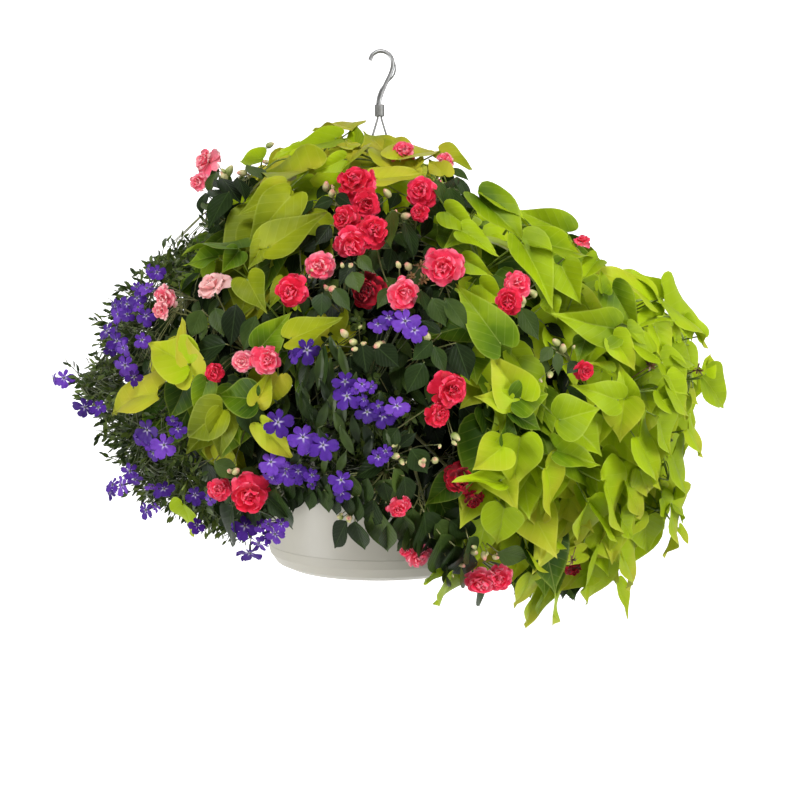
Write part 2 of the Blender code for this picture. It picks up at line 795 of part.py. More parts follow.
def grow_bud(plants, row, rng, standing):
    """A round bud on a fine stalk."""
    px, py, radius_px = row
    radius = radius_px * METRES_PER_PX
    bearing = [one for one in plants if one.carriers]
    for shift in SHIFTS:
        spot = place(px, py, front_depth(px, py) + shift)
        ranked = sorted(bearing, key=lambda one: min((near - spot).length for near in one.carriers))
        plant = ranked[0]
        test = ball(spot, radius + CLEAR)
        fits = standing.is_clear(test, plant.name)
        test.free()
        if not fits:
            continue
        for route in stalk_routes(spot, plant.carriers, -outward(spot), rng):
            test = tube(route, FINE_END + CLEAR, THIN_STALK + CLEAR, 3)
            fits = standing.is_clear(test, plant.name)
            test.free()
            if fits:
                plant.take(ball(spot, radius), standing, True)
                plant.take(tube(route, FINE_END, THIN_STALK, 3), standing)
                return True
    return False


def grow_listed(rows, plants, kinds, least_width, stalk, rng, standing):
    """Set every listed leaf, pushing it along its sight line until it is clear."""
    for row in rows:
        span = row[4] * METRES_PER_PX
        for shift in SHIFTS:
            base, tip = leaf_ends(row, shift)
            width = max(span, least_width * (tip - base).length)
            normal = blade_normal(base, tip, width, span, (base + tip) / 2.0)
            kind = kinds[0] if row[4] >= BIG_LEAF_PX else kinds[1]
            bend = (rng.uniform(0.02, 0.12), rng.uniform(0.02, 0.12))
            if grow_leaf(plants, kind, base, tip, normal, width, bend, stalk, rng, standing):
                break


def hub_choices(plants, middle):
    """Places beside a carrier stem where a spray can sit, nearest first."""
    found = []
    for plant in plants:
        for spot in plant.carriers:
            found.append(((spot - middle).length, spot))
    found.sort(key=lambda pair: pair[0])
    return [spot for _, spot in found[:120:4]]


def head_facing(spot, side, rise):
    """Direction a head faces: out of the foliage, and partly to the viewer on the front."""
    if spot.y > 0.0:
        return (outward(spot) + Vector((side, 0.0, rise))).normalized()
    to_eye = (EYE - spot).normalized()
    facing = to_eye * 0.9 + outward(spot) * 0.7 + Vector((side, 0.0, rise))
    return facing.normalized()


def grow_spray(name, material, heads, carriers, kind, stalk, rng, standing):
    """A spray: heads on stalks that meet at a bead seated beside a green stem."""
    depth_sign = -1.0 if name.endswith("_back") else 1.0
    spots = []
    for head in heads:
        px, py, radius = head[:3]
        side, rise = head[3:5] if len(head) > 4 else (0.0, 0.0)
        spots.append((px, py, radius * METRES_PER_PX, side, rise, depth_sign))
    centre_x = sum(spot[0] for spot in spots) / len(spots)
    centre_y = sum(spot[1] for spot in spots) / len(spots)
    middle = place(centre_x, centre_y, front_depth(centre_x, centre_y) * 0.8 * depth_sign)
    for carrier in hub_choices(carriers, middle):
        away = (middle - carrier).normalized()
        for step in range(HUB_STEPS):
            hub = carrier + away * (HUB_RADIUS + HUB_STEP * step)
            test = ball(hub, HUB_RADIUS + SEAT, away)
            fits = standing.is_clear(test, name)
            test.free()
            if fits:
                spray = try_spray(name, material, spots, (hub, away), kind, stalk, rng, standing)
                if spray:
                    return spray
                break
    return None


def try_spray(name, material, spots, seat, kind, stalk, rng, standing):
    """Place every head of a spray about one bead, or give up."""
    hub, away = seat
    shapes = [ball(hub, HUB_RADIUS, away)]
    for head in spots:
        found = place_head(head, hub, kind, stalk, rng, name, standing)
        if found is None:
            for shape in shapes:
                shape.free()
            return None
        shapes += found
    spray = Plant(name, material)
    for shape in shapes:
        spray.take(shape, standing)
    return spray


def place_head(head, hub, kind, stalk, rng, name, standing):
    """One head and its stalk, pushed along the sight line until both are clear."""
    px, py, radius, side, rise, depth_sign = head
    draw, seat = kind
    turn = rng.uniform(0.0, TURN)
    for shift in SHIFTS:
        spot = place(px, py, (front_depth(px, py) - HEAD_RISE + shift) * depth_sign)
        facing = head_facing(spot, side, rise)
        test = draw(spot, facing, radius, turn, CLEAR)
        fits = standing.is_clear(test, name)
        test.free()
        if not fits:
            continue
        root = spot - facing * (radius * seat)
        middle = (root + hub) / 2.0
        reach = (root - hub).length
        for attempt in range(7):
            bend = Vector((rng.uniform(-1, 1), rng.uniform(-1, 1), rng.uniform(-1, 1)))
            route = [root, middle - facing * (0.1 * reach) + bend * (0.05 * attempt * reach), hub]
            test = tube(route, FINE_END + CLEAR, stalk + CLEAR, 3)
            fits = standing.is_clear(test, name)
            test.free()
            if fits:
                return [draw(spot, facing, radius, turn, 0.0), tube(route, FINE_END, stalk, 3)]
    return None


def join_plant(plant, home):
    """Fuse a plant's shapes into one body and drop what floats loose."""
    goal = sum(len(shape.faces) for shape in plant.shapes) + JOINT_FACES * (len(plant.shapes) - 1)
    parts = group(plant.name + "_parts")
    objects = []
    for count, shape in enumerate(plant.shapes):
        mesh = bpy.data.meshes.new(f"{plant.name}_{count}")
        shape.to_mesh(mesh)
        shape.free()
        objects.append(add_object(mesh.name, mesh, parts))
    first = objects[0]
    parts.objects.unlink(first)
    home.objects.link(first)
    if len(objects) > 1:
        join = first.modifiers.new("join", "BOOLEAN")
        join.operation = "UNION"
        join.operand_type = "COLLECTION"
        join.collection = parts
        join.solver = "MANIFOLD"
        bake(first)
    for item in objects[1:]:
        bpy.data.objects.remove(item, do_unlink=True)
    bpy.data.collections.remove(parts)
    keep_main_body(first.data)
    thin_out(first, goal)
    first.name = plant.name
    first.data.name = plant.name
    first.data.materials.clear()
    first.data.materials.append(paint(plant.material))
    return first


def open_edges(shape):
    """How many edges do not have exactly two faces."""
    return sum(1 for edge in shape.edges if not edge.is_manifold)


def in_triangles(mesh):
    """The mesh in triangles with flat places merged, by the way that leaves it closed."""
    best = None
    for angle, method in TRIANGLE_WAYS:
        shape = bmesh.new()
        shape.from_mesh(mesh)
        if angle > 0.0:
            bmesh.ops.dissolve_limit(shape, angle_limit=math.radians(angle), verts=shape.verts[:],
                                     edges=shape.edges[:])
        bmesh.ops.triangulate(shape, faces=shape.faces[:], ngon_method=method)
        amount = open_edges(shape)
        if best is None or amount < best[0]:
            best = (amount, shape)
        if amount == 0:
            break
    return best[1]


def thin_out(item, goal):
    """Take out the needless points that joining leaves along straight and flat places."""
    count = len(item.data.polygons)
    kept = item.data
    for extra in THIN_STEPS:
        if goal * extra >= count:
            return
        step = item.modifiers.new("thin_out", "DECIMATE")
        step.ratio = goal * extra / count
        mesh = bake(item)
        shape = bmesh.new()
        shape.from_mesh(mesh)
        closed = open_edges(shape) == 0 and len(islands(shape)) == 1
        shape.free()
        if closed:
            return
        item.data = kept


def islands(shape):
    """The separate bodies of a mesh, as lists of faces."""
    left = set(shape.faces)
    found = []
    while left:
        queue = [left.pop()]
        body = list(queue)
        while queue:
            face = queue.pop()
            for edge in face.edges:
                for near in edge.link_faces:
                    if near in left:
                        left.remove(near)
                        queue.append(near)
                        body.append(near)
        found.append(body)
    return found


def body_volume(faces):
    """Volume inside a closed body; a hollow counts as negative."""
    total = 0.0
    for face in faces:
        a, b, c = (vert.co for vert in face.verts[:3])
        total += a.dot(b.cross(c)) / 6.0
    return total


def keep_main_body(mesh):
    """Keep the largest body; loose scraps and sealed hollows go."""
    shape = in_triangles(mesh)
    bodies = sorted(islands(shape), key=body_volume, reverse=True)
    for body in bodies[1:]:
        bmesh.ops.delete(shape, geom=body, context="FACES")
    shape.to_mesh(mesh)
    shape.free()


# Plant frames: hole in the soil (x, y), trunk and branches as picture points with a share of
# the way out to the front of the foliage; a negative share lies behind the hanging axis
LIME_FRAMES = {
    "lime_vine_top_left": ((-0.055, 0.045), [(340, 330, -0.25), (300, 250, -0.15)], [
        [(285, 225, 0.30), (265, 215, 0.55)], [(275, 185, 0.30), (260, 175, 0.60)],
        [(310, 175, 0.20), (318, 160, 0.4)], [(245, 250, 0.3), (215, 262, 0.55)],
        [(300, 170, -0.2), (290, 155, -0.1)]]),
    "lime_vine_left": ((-0.086, -0.038), [(270, 400, 0.45), (235, 385, 0.62)], [
        [(205, 378, 0.72), (180, 372, 0.78)], [(222, 410, 0.74), (205, 440, 0.82)],
        [(240, 350, 0.6), (262, 335, 0.74), (285, 325, 0.78)],
        [(250, 420, 0.68), (275, 440, 0.80)], [(205, 450, 0.6), (182, 490, 0.66)],
        [(250, 310, 0.6), (258, 285, 0.72)]]),
    "lime_vine_top": ((0.004, 0.081), [(385, 300, -0.40), (385, 200, -0.32)], [
        [(385, 165, -0.1), (385, 150, 0.3)], [(350, 160, -0.1), (335, 150, 0.2)],
        [(425, 175, -0.1), (430, 160, 0.25)], [(400, 185, 0.1), (402, 176, 0.5)]]),
    "lime_vine_upper_right": ((0.060, 0.040), [(470, 330, -0.10), (490, 270, 0.20)], [
        [(475, 245, 0.50), (462, 235, 0.62)], [(505, 232, 0.50), (520, 226, 0.70)],
        [(535, 255, 0.50), (560, 248, 0.65)], [(540, 280, 0.5), (575, 285, 0.70)],
        [(480, 285, 0.55), (482, 272, 0.72)]]),
    "lime_vine_right": ((0.100, 0.015), [(520, 380, 0.05), (580, 335, 0.25)], [
        [(610, 315, 0.45), (640, 300, 0.50), (660, 305, 0.45)],
        [(615, 345, 0.50), (650, 345, 0.60), (685, 345, 0.5)],
        [(620, 375, 0.50), (660, 385, 0.60), (690, 375, 0.5)],
        [(600, 310, 0.4), (600, 285, 0.50)], [(590, 330, 0.6), (600, 325, 0.78)]]),
    "lime_vine_low_right": ((0.100, -0.040), [(530, 430, 0.30), (575, 430, 0.52)], [
        [(590, 410, 0.72), (610, 395, 0.80)], [(570, 412, 0.74), (555, 405, 0.82)],
        [(615, 435, 0.62), (650, 425, 0.74), (672, 440, 0.72)],
        [(610, 465, 0.66), (645, 475, 0.74), (668, 480, 0.72)],
        [(580, 460, 0.70), (565, 462, 0.82)], [(600, 490, 0.66), (620, 505, 0.78)],
        [(640, 500, 0.6), (665, 512, 0.66)]]),
    "lime_vine_front_right": ((0.065, -0.085), [(490, 430, 0.50), (505, 415, 0.66)], [
        [(500, 375, 0.72), (490, 345, 0.80)], [(520, 400, 0.78), (530, 395, 0.84)],
        [(515, 440, 0.76), (518, 450, 0.84)], [(495, 460, 0.70), (480, 485, 0.80)],
        [(515, 480, 0.72), (520, 500, 0.82)]]),
    "lime_vine_bottom_right": ((0.085, -0.070), [(520, 490, 0.36), (540, 515, 0.50)], [
        [(540, 545, 0.66), (545, 572, 0.78)], [(565, 525, 0.66), (585, 530, 0.80)],
        [(590, 545, 0.56), (612, 560, 0.70)], [(550, 490, 0.66), (548, 480, 0.80)],
        [(500, 535, 0.60), (470, 560, 0.70), (448, 570, 0.74)]]),
    "lime_vine_back_right": ((0.055, 0.085), [(500, 400, -0.50), (540, 370, -0.60)], [
        [(590, 320, -0.66), (620, 300, -0.74)], [(600, 380, -0.70), (640, 400, -0.78)],
        [(590, 440, -0.70), (620, 480, -0.80)], [(530, 310, -0.74), (500, 250, -0.80)],
        [(530, 450, -0.7), (520, 510, -0.82)]]),
    "lime_vine_back_left": ((-0.030, 0.105), [(330, 410, -0.55), (300, 380, -0.64)], [
        [(270, 330, -0.70), (250, 270, -0.78)], [(240, 400, -0.74), (200, 420, -0.80)],
        [(300, 440, -0.72), (290, 510, -0.80)]]),
}
IMPATIENS_FRAMES = {
    "impatiens_centre": ((0.010, -0.030), [(390, 370, 0.20), (388, 320, 0.40)], [
        [(375, 280, 0.60), (358, 250, 0.72), (355, 215, 0.76)],
        [(405, 270, 0.58), (412, 240, 0.70), (420, 205, 0.76)],
        [(430, 300, 0.66), (445, 285, 0.76)], [(400, 300, 0.66), (395, 300, 0.80)],
        [(370, 320, 0.66), (345, 318, 0.80)], [(425, 330, 0.68), (440, 335, 0.82)],
        [(405, 230, 0.40), (440, 190, 0.55)], [(380, 345, 0.70), (365, 350, 0.84)]]),
    "impatiens_left": ((-0.060, -0.020), [(310, 360, 0.30), (290, 320, 0.46)], [
        [(300, 300, 0.66), (305, 290, 0.80)], [(245, 320, 0.62), (215, 325, 0.72)],
        [(262, 345, 0.64), (245, 350, 0.80)], [(250, 270, 0.40), (235, 225, 0.45)],
        [(240, 200, 0.30), (225, 190, 0.40)], [(200, 300, 0.55), (185, 300, 0.66)]]),
    "impatiens_front": ((-0.010, -0.100), [(395, 440, 0.60), (405, 425, 0.72)], [
        [(430, 400, 0.76), (445, 395, 0.84)], [(395, 450, 0.80), (385, 470, 0.85)],
        [(415, 470, 0.80), (430, 520, 0.80), (435, 555, 0.76)],
        [(450, 470, 0.74), (462, 490, 0.80), (474, 555, 0.76)],
        [(415, 370, 0.76), (420, 355, 0.84)], [(375, 490, 0.82), (355, 505, 0.88)]]),
    "impatiens_front_left": ((-0.085, -0.085), [(290, 450, 0.56), (265, 460, 0.66)], [
        [(245, 475, 0.72), (235, 490, 0.80)], [(272, 490, 0.76), (276, 500, 0.84)],
        [(235, 440, 0.68), (250, 415, 0.78)]]),
    "impatiens_right": ((0.085, -0.010), [(480, 370, 0.30), (520, 340, 0.50)], [
        [(518, 315, 0.68), (515, 300, 0.80)], [(545, 350, 0.68), (572, 362, 0.80)],
        [(540, 300, 0.40), (570, 262, 0.36)]]),
    "impatiens_back": ((0.005, 0.060), [(400, 400, -0.50), (410, 350, -0.62)], [
        [(420, 290, -0.76), (420, 230, -0.84)], [(370, 320, -0.74), (340, 260, -0.84)],
        [(400, 420, -0.76), (380, 480, -0.84)], [(460, 340, -0.72), (480, 300, -0.84)]]),
}
LOBELIA_FRAMES = {
    "lobelia_left": ((-0.105, 0.020), [(240, 380, 0.25), (185, 340, 0.45)], [
        [(160, 310, 0.60), (150, 292, 0.70)], [(145, 330, 0.58), (118, 325, 0.66)],
        [(140, 365, 0.56), (105, 378, 0.60), (80, 385, 0.4)],
        [(180, 290, 0.40), (175, 262, 0.4)]]),
    "lobelia_low_left": ((-0.115, -0.020), [(215, 430, 0.45), (170, 440, 0.60)], [
        [(150, 440, 0.75), (140, 438, 0.85)], [(145, 465, 0.70), (138, 478, 0.80)],
        [(165, 475, 0.72), (170, 492, 0.82)], [(190, 480, 0.74), (200, 498, 0.84)],
        [(130, 420, 0.66), (112, 412, 0.74)]]),
    "lobelia_centre": ((-0.045, -0.105), [(325, 440, 0.66), (322, 420, 0.76)], [
        [(315, 385, 0.80), (310, 368, 0.86)], [(345, 420, 0.82), (362, 405, 0.88)],
        [(295, 435, 0.80), (282, 440, 0.86)], [(300, 460, 0.80), (295, 470, 0.86)],
        [(335, 460, 0.82), (345, 470, 0.88)]]),
    "lobelia_bottom_left": ((-0.105, -0.055), [(250, 495, 0.52), (245, 505, 0.66)], [
        [(250, 520, 0.74), (252, 535, 0.82)], [(270, 515, 0.76), (278, 522, 0.84)]]),
    "lobelia_back_left": ((-0.085, 0.070), [(250, 420, -0.35), (210, 380, -0.45)], [
        [(170, 350, -0.56), (140, 330, -0.60)], [(170, 400, -0.6), (130, 420, -0.66)],
        [(215, 300, -0.60), (190, 250, -0.62)]]),
}

# Lime leaves: stalk end, tip and width as the photo shows them, and a share of the depth
LIME_LEAVES = (
    (157, 396, 99, 403, 38), (188, 364, 143, 340, 46), (193, 376, 174, 317, 28),
    (186, 382, 169, 424, 34, 0.9), (207, 382, 194, 421, 24), (255, 399, 213, 395, 36),
    (258, 402, 271, 370, 22), (264, 374, 258, 411, 28, 0.9), (222, 410, 180, 443, 38),
    (224, 412, 219, 461, 30), (183, 497, 187, 545, 22), (176, 480, 179, 520, 24, 0.9),
    (262, 425, 297, 465, 26), (218, 257, 180, 263, 18), (238, 252, 221, 273, 22), (262, 246, 249, 269, 20),
    (290, 198, 243, 247, 38), (268, 247, 326, 206, 34), (283, 190, 237, 214, 28), (308, 172, 249, 162, 32),
    (336, 138, 271, 155, 18), (295, 158, 323, 152, 16), (262, 158, 236, 160, 18), (343, 160, 314, 172, 20),
    (360, 148, 335, 170, 16), (392, 168, 369, 129, 34), (400, 160, 452, 141, 20), (440, 152, 473, 169, 16),
    (378, 180, 428, 170, 20), (276, 250, 262, 293, 26, 0.85), (247, 279, 265, 312, 32),
    (284, 282, 268, 310, 16, 0.9), (262, 346, 291, 311, 30), (291, 338, 342, 316, 26),
    (447, 212, 480, 235, 26), (470, 228, 444, 248, 22, 0.9), (463, 232, 500, 256, 20),
    (464, 260, 494, 276, 20), (480, 198, 532, 250, 32), (566, 232, 514, 207, 32), (522, 242, 557, 305, 34),
    (536, 243, 602, 257, 20), (562, 267, 581, 305, 34), (597, 260, 579, 279, 20),
    (550, 300, 557, 319, 20, 0.9), (612, 328, 557, 317, 38), (612, 289, 640, 336, 32),
    (648, 300, 596, 261, 22), (662, 298, 626, 266, 16), (662, 316, 631, 323, 22), (664, 303, 714, 346, 24),
    (655, 327, 673, 373, 22), (650, 353, 614, 330, 20), (672, 352, 701, 364, 22), (663, 362, 692, 399, 26),
    (667, 385, 693, 420, 24), (706, 374, 713, 351, 16), (703, 378, 728, 410, 30), (656, 390, 681, 416, 26),
    (656, 416, 677, 460, 32), (686, 430, 708, 458, 18), (670, 456, 690, 505, 22), (635, 438, 667, 491, 32),
    (624, 400, 619, 444, 40), (618, 400, 578, 386, 32), (560, 420, 601, 408, 44), (556, 452, 607, 461, 30),
    (603, 418, 598, 447, 22, 0.9), (520, 398, 489, 352, 42), (508, 402, 476, 396, 22),
    (514, 400, 552, 394, 34), (512, 412, 544, 432, 20), (503, 447, 472, 471, 38), (520, 438, 513, 495, 44),
    (504, 508, 497, 550, 40), (545, 470, 560, 530, 26), (587, 502, 582, 551, 34), (592, 500, 630, 545, 26),
    (600, 481, 624, 540, 32), (621, 518, 636, 541, 22), (645, 520, 648, 555, 34), (672, 503, 678, 558, 15),
    (625, 480, 652, 520, 32, 0.9), (600, 547, 589, 609, 38), (620, 545, 635, 592, 20),
    (550, 578, 564, 628, 24), (536, 584, 527, 630, 22), (531, 574, 516, 612, 24), (545, 588, 539, 620, 20),
    (528, 549, 560, 573, 26, 0.9), (582, 552, 548, 562, 20, 0.9), (455, 480, 424, 506, 28, 0.9),
    (500, 481, 453, 477, 20), (500, 343, 455, 281, 40), (472, 350, 478, 378, 22, 0.85),
    (482, 410, 492, 446, 18, 0.85), (585, 340, 578, 363, 22, 0.9), (628, 399, 620, 364, 24),
    (448, 574, 438, 613, 16), (480, 285, 505, 305, 26, 0.85), (640, 350, 655, 372, 24, 0.85),
    (530, 520, 512, 545, 26, 0.8), (545, 530, 578, 548, 24, 0.85), (602, 450, 612, 480, 26, 0.8),
    (640, 470, 650, 500, 28, 0.85), (560, 480, 580, 500, 26, 0.85),
)

# Impatiens leaves, listed the same way
IMPATIENS_LEAVES = (
    (229, 192, 207, 226, 20), (222, 178, 241, 200, 16), (236, 205, 226, 222, 14, 0.8),
    (438, 180, 448, 206, 13), (450, 188, 460, 214, 15), (420, 205, 441, 214, 14, 0.8),
    (392, 210, 388, 246, 14), (354, 262, 339, 285, 14), (352, 272, 359, 292, 18), (358, 256, 373, 272, 13),
    (322, 293, 321, 316, 18), (334, 288, 350, 310, 14), (390, 288, 377, 308, 13), (432, 298, 446, 326, 19),
    (445, 298, 469, 330, 18), (456, 343, 470, 381, 24), (432, 341, 412, 361, 16), (424, 363, 407, 394, 22),
    (434, 346, 446, 374, 14), (362, 343, 366, 372, 20), (376, 346, 399, 367, 22),
    (350, 356, 352, 385, 22, 0.9), (460, 403, 482, 426, 20, 0.85), (398, 428, 384, 448, 17),
    (411, 449, 429, 476, 22), (388, 460, 350, 476, 18), (391, 479, 380, 503, 22), (394, 468, 403, 500, 14),
    (404, 476, 408, 510, 18), (347, 521, 333, 549, 18), (355, 521, 364, 552, 18), (378, 508, 386, 555, 26),
    (413, 508, 400, 548, 26), (424, 512, 432, 562, 26), (462, 506, 450, 540, 26, 0.9),
    (440, 534, 441, 578, 24), (468, 552, 446, 590, 24), (478, 582, 484, 608, 13), (498, 552, 530, 560, 20),
    (233, 506, 221, 549, 24), (250, 502, 246, 535, 18), (268, 498, 289, 518, 18), (276, 488, 286, 536, 20),
    (214, 462, 240, 476, 18), (202, 310, 190, 338, 20), (215, 308, 224, 336, 18), (236, 304, 230, 346, 22),
    (256, 316, 242, 352, 18), (226, 344, 186, 352, 22), (250, 402, 252, 438, 26), (520, 308, 540, 340, 18),
    (345, 455, 330, 470, 16, 0.85), (300, 250, 318, 235, 18, 0.85), (450, 520, 472, 540, 20, 0.9),
    (375, 370, 392, 395, 18, 0.85), (330, 225, 316, 245, 16, 0.85), (470, 520, 462, 545, 16, 0.9),
    (250, 380, 280, 400, 20, 0.8), (240, 470, 262, 486, 20, 0.85),
)

# Sprays of double blooms: centre, radius, and how far each turns sideways and up
BLOOM_SPRAYS = {
    "blooms_crown": [(356, 182, 18, -0.2, 0.6), (367, 203, 13, 0.4, 0.0), (345, 219, 13, -0.9, 0.0),
                     (375, 231, 14, 0.7, 0.1), (351, 243, 15, -0.1, -0.3)],
    "blooms_upper_centre": [(404, 152, 12, -1.2, 0.8), (421, 191, 14, -0.1, 0.2), (420, 213, 8, 0.2, -0.6),
                            (446, 160, 8, 0.2, 0.5)],
    "blooms_top_left": [(208, 160, 11, -0.3, 0.3), (199, 181, 6, -0.6, -0.4)],
    "blooms_left_centre": [(320, 266, 12, 0.1, 0.1), (292, 291, 14, 0.1, -0.1)],
    "blooms_middle": [(366, 290, 15, 0.0, 0.4), (403, 294, 14, 0.2, -0.4)],
    "blooms_right_centre": [(444, 267, 17, 0.0, -0.3)],
    "blooms_left": [(213, 286, 15, 0.0, 0.6), (165, 298, 11, -0.2, 0.2), (161, 308, 9, -0.3, -0.5)],
    "blooms_low_left": [(243, 361, 10, -0.3, 0.3), (266, 360, 13, 0.5, -0.3), (214, 373, 9, 0.2, -0.8)],
    "blooms_centre": [(449, 391, 16, 0.5, 0.2), (439, 415, 11, -0.1, -0.3)],
    "blooms_right": [(518, 284, 12, 0.3, 0.7), (510, 301, 12, -0.2, 0.0)],
    "blooms_top_right": [(582, 241, 8, 0.3, 0.5)],
    "blooms_far_right": [(585, 371, 9, 0.2, 0.1)],
    "blooms_bottom_left": [(219, 490, 10, -0.3, 0.1), (250, 495, 18, 0.1, -0.1)],
    "blooms_front": [(399, 507, 11, 0.1, -0.1)],
    "blooms_shade": [(461, 478, 14, 0.0, 0.2), (474, 500, 9, 0.0, -0.4)],
    "blooms_pot_side": [(419, 557, 11, 0.0, -0.2), (405, 551, 5, -0.8, 0.0)],
    "blooms_bottom_right": [(480, 582, 15, -0.3, -0.4), (500, 577, 12, 0.3, 0.0)],
    "blooms_low_right": [(573, 570, 8, 0.2, -0.2)],
    "blooms_back": [(420, 240, 17, 0.1, 0.2), (446, 262, 15, 0.3, 0.0), (350, 300, 15, -0.3, 0.0)],
}

# Sprays of lobelia flowers, listed the same way
VIOLET_SPRAYS = {
    "violets_upper_left": [(157, 272, 8, -0.2, 0.3), (147, 288, 8, -0.3, 0.2), (137, 298, 9, -0.4, 0.0),
                           (127, 304, 9, -0.7, 0.0), (146, 316, 9, 0.0, -0.2)],
    "violets_left": [(118, 314, 9, -0.7, 0.2), (107, 331, 10, -0.5, 0.0), (117, 341, 10, 0.0, -0.3),
                     (142, 340, 8, 0.3, 0.0), (125, 365, 11, 0.0, -0.2)],
    "violets_far_left": [(64, 378, 10, -1.4, -0.1), (85, 407, 11, -0.3, -0.3)],
    "violets_low_left": [(147, 430, 12, -0.2, 0.0), (164, 445, 12, 0.1, 0.0), (178, 429, 8, 0.5, 0.0)],
    "violets_lower_left": [(130, 471, 9, -0.1, 0.2), (122, 485, 10, -0.3, -0.1), (146, 510, 9, -0.9, -0.9),
                           (164, 489, 10, 0.0, 1.0)],
    "violets_low_hang": [(195, 495, 9, 0.0, 0.9), (210, 499, 6, 0.0, 0.0), (197, 525, 8, 0.2, -1.2)],
    "violets_bottom_left": [(245, 526, 12, 0.0, 0.4), (275, 534, 9, -0.3, -0.2), (281, 524, 7, 0.3, 0.0),
                            (250, 553, 12, 0.0, -1.8)],
    "violets_centre_left": [(307, 350, 12, 0.0, 0.0), (278, 422, 13, 0.0, 0.0), (303, 437, 14, 0.0, 0.0),
                            (323, 445, 13, 0.2, 0.0)],
    "violets_low_centre": [(271, 462, 12, -0.2, 0.0), (286, 473, 11, 0.0, -0.2), (300, 474, 9, 0.2, 0.0),
                           (312, 475, 7, 0.6, 0.0), (341, 480, 11, 0.2, -0.2)],
    "violets_centre": [(347, 396, 12, 0.0, 0.0), (362, 384, 7, 0.6, 0.2), (367, 412, 10, 0.2, 0.0),
                       (383, 416, 10, -0.1, 0.0), (397, 406, 11, 0.3, 0.0), (378, 457, 9, -0.3, 0.0)],
    "violets_upper_centre": [(405, 321, 13, 0.1, 0.0), (378, 324, 9, 0.0, 0.2)],
    "violets_back": [(150, 350, 12, -0.2, 0.1), (178, 372, 12, 0.1, 0.0), (160, 396, 12, 0.0, -0.2)],
}

# Tips of the thin lobelia shoots, with a share of the depth
LOBELIA_TIPS = (
    (120, 285), (160, 255), (185, 235, 0.8), (115, 290), (94, 320), (88, 362), (75, 378, 0.8),
    (100, 375), (110, 400), (98, 440, 0.9), (120, 455), (140, 475), (160, 500), (170, 455),
    (205, 510), (260, 530), (335, 420), (180, 275, 0.8), (130, 400, -0.8), (170, 330, -0.8),
    (220, 430, -0.8), (190, 290, -0.8),
)

# Buds: place and radius
BUDS = (
    (387, 193, 4), (406, 216, 4), (350, 266, 3.5), (332, 289, 4), (408, 266, 4), (344, 333, 4),
    (353, 342, 4), (378, 345, 4), (427, 336, 4), (396, 456, 4), (422, 463, 4), (435, 460, 4),
    (349, 518, 4), (474, 552, 4), (484, 556, 3.5), (229, 171, 5), (242, 173, 4), (329, 188, 4),
    (533, 293, 4), (556, 342, 4), (236, 471, 4),
)


def frames(table, material, radius, standing, rng):
    """The stems of every plant in a table."""
    made = []
    for name, (hole, trunk, branches) in table.items():
        made.append(grow_frame(name, material, hole, trunk, branches, radius, standing, rng))
    return made


def sprays(table, material, carriers, kind, stalk, standing, rng):
    """Every spray in a table."""
    made = []
    for name, heads in table.items():
        spray = grow_spray(name, material, heads, carriers, kind, stalk, rng, standing)
        if spray:
            made.append(spray)
    return made


def main():
    """Build the basket, then plant it."""
    clear_scene()
    rng = random.Random(SEED)
    home = group(OBJECT_NAME)
    cutters = group(CUTTERS_NAME, hidden=True)
    tables = (LIME_FRAMES, IMPATIENS_FRAMES, LOBELIA_FRAMES)
    holes = [frame[0] for table in tables for frame in table.values()]
    hardware = [build_pot(home, cutters), build_saucer(home), build_soil(home, cutters, holes),
                build_hook(home, cutters)]
    for count, degrees in enumerate(WIRE_ANGLES):
        hardware.append(build_wire(home, count, degrees))
    standing = Standing()
    for item in hardware:
        standing.add_mesh(item)
    lime = frames(LIME_FRAMES, "lime_leaf", STEM_RADIUS, standing, rng)
    impatiens = frames(IMPATIENS_FRAMES, "impatiens_leaf", STEM_RADIUS, standing, rng)
    lobelia = frames(LOBELIA_FRAMES, "lobelia_leaf", THIN_STEM, standing, rng)
    bloom = (rosette, BLOOM_SEAT)
    flower = (funnel_flower, FLOWER_SEAT)
    blooms = sprays(BLOOM_SPRAYS, "red_petal", impatiens, bloom, STALK_RADIUS, standing, rng)
    violets = sprays(VIOLET_SPRAYS, "violet_petal", lobelia, flower, THIN_STALK, standing, rng)
    heart = (flat_blade(HEART), HEART[0][0])
    small_heart = (flat_blade(SMALL_HEART), SMALL_HEART[0][0])
    ovate = (flat_blade(OVATE), OVATE[0][0])
    lance = flat_blade(LANCE)
    grow_listed(LIME_LEAVES, lime, (heart, small_heart), LIME_SHAPE, STALK_RADIUS, rng, standing)
    grow_listed(IMPATIENS_LEAVES, impatiens, (ovate, ovate), IMPATIENS_SHAPE, THIN_STALK, rng, standing)
    for row in BUDS:
        grow_bud(impatiens, row, rng, standing)
    for row in LOBELIA_TIPS:
        grow_shoot(lobelia, row, lance, rng, standing)
    grow_back(lime, impatiens, (heart, ovate), rng, standing)
    for plant in lime + impatiens + lobelia + blooms + violets:
        join_plant(plant, home)


main()
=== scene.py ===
"""The looks of a mixed hanging basket: its leaves, blooms, pot and hanger over the built frame."""

import math
import random

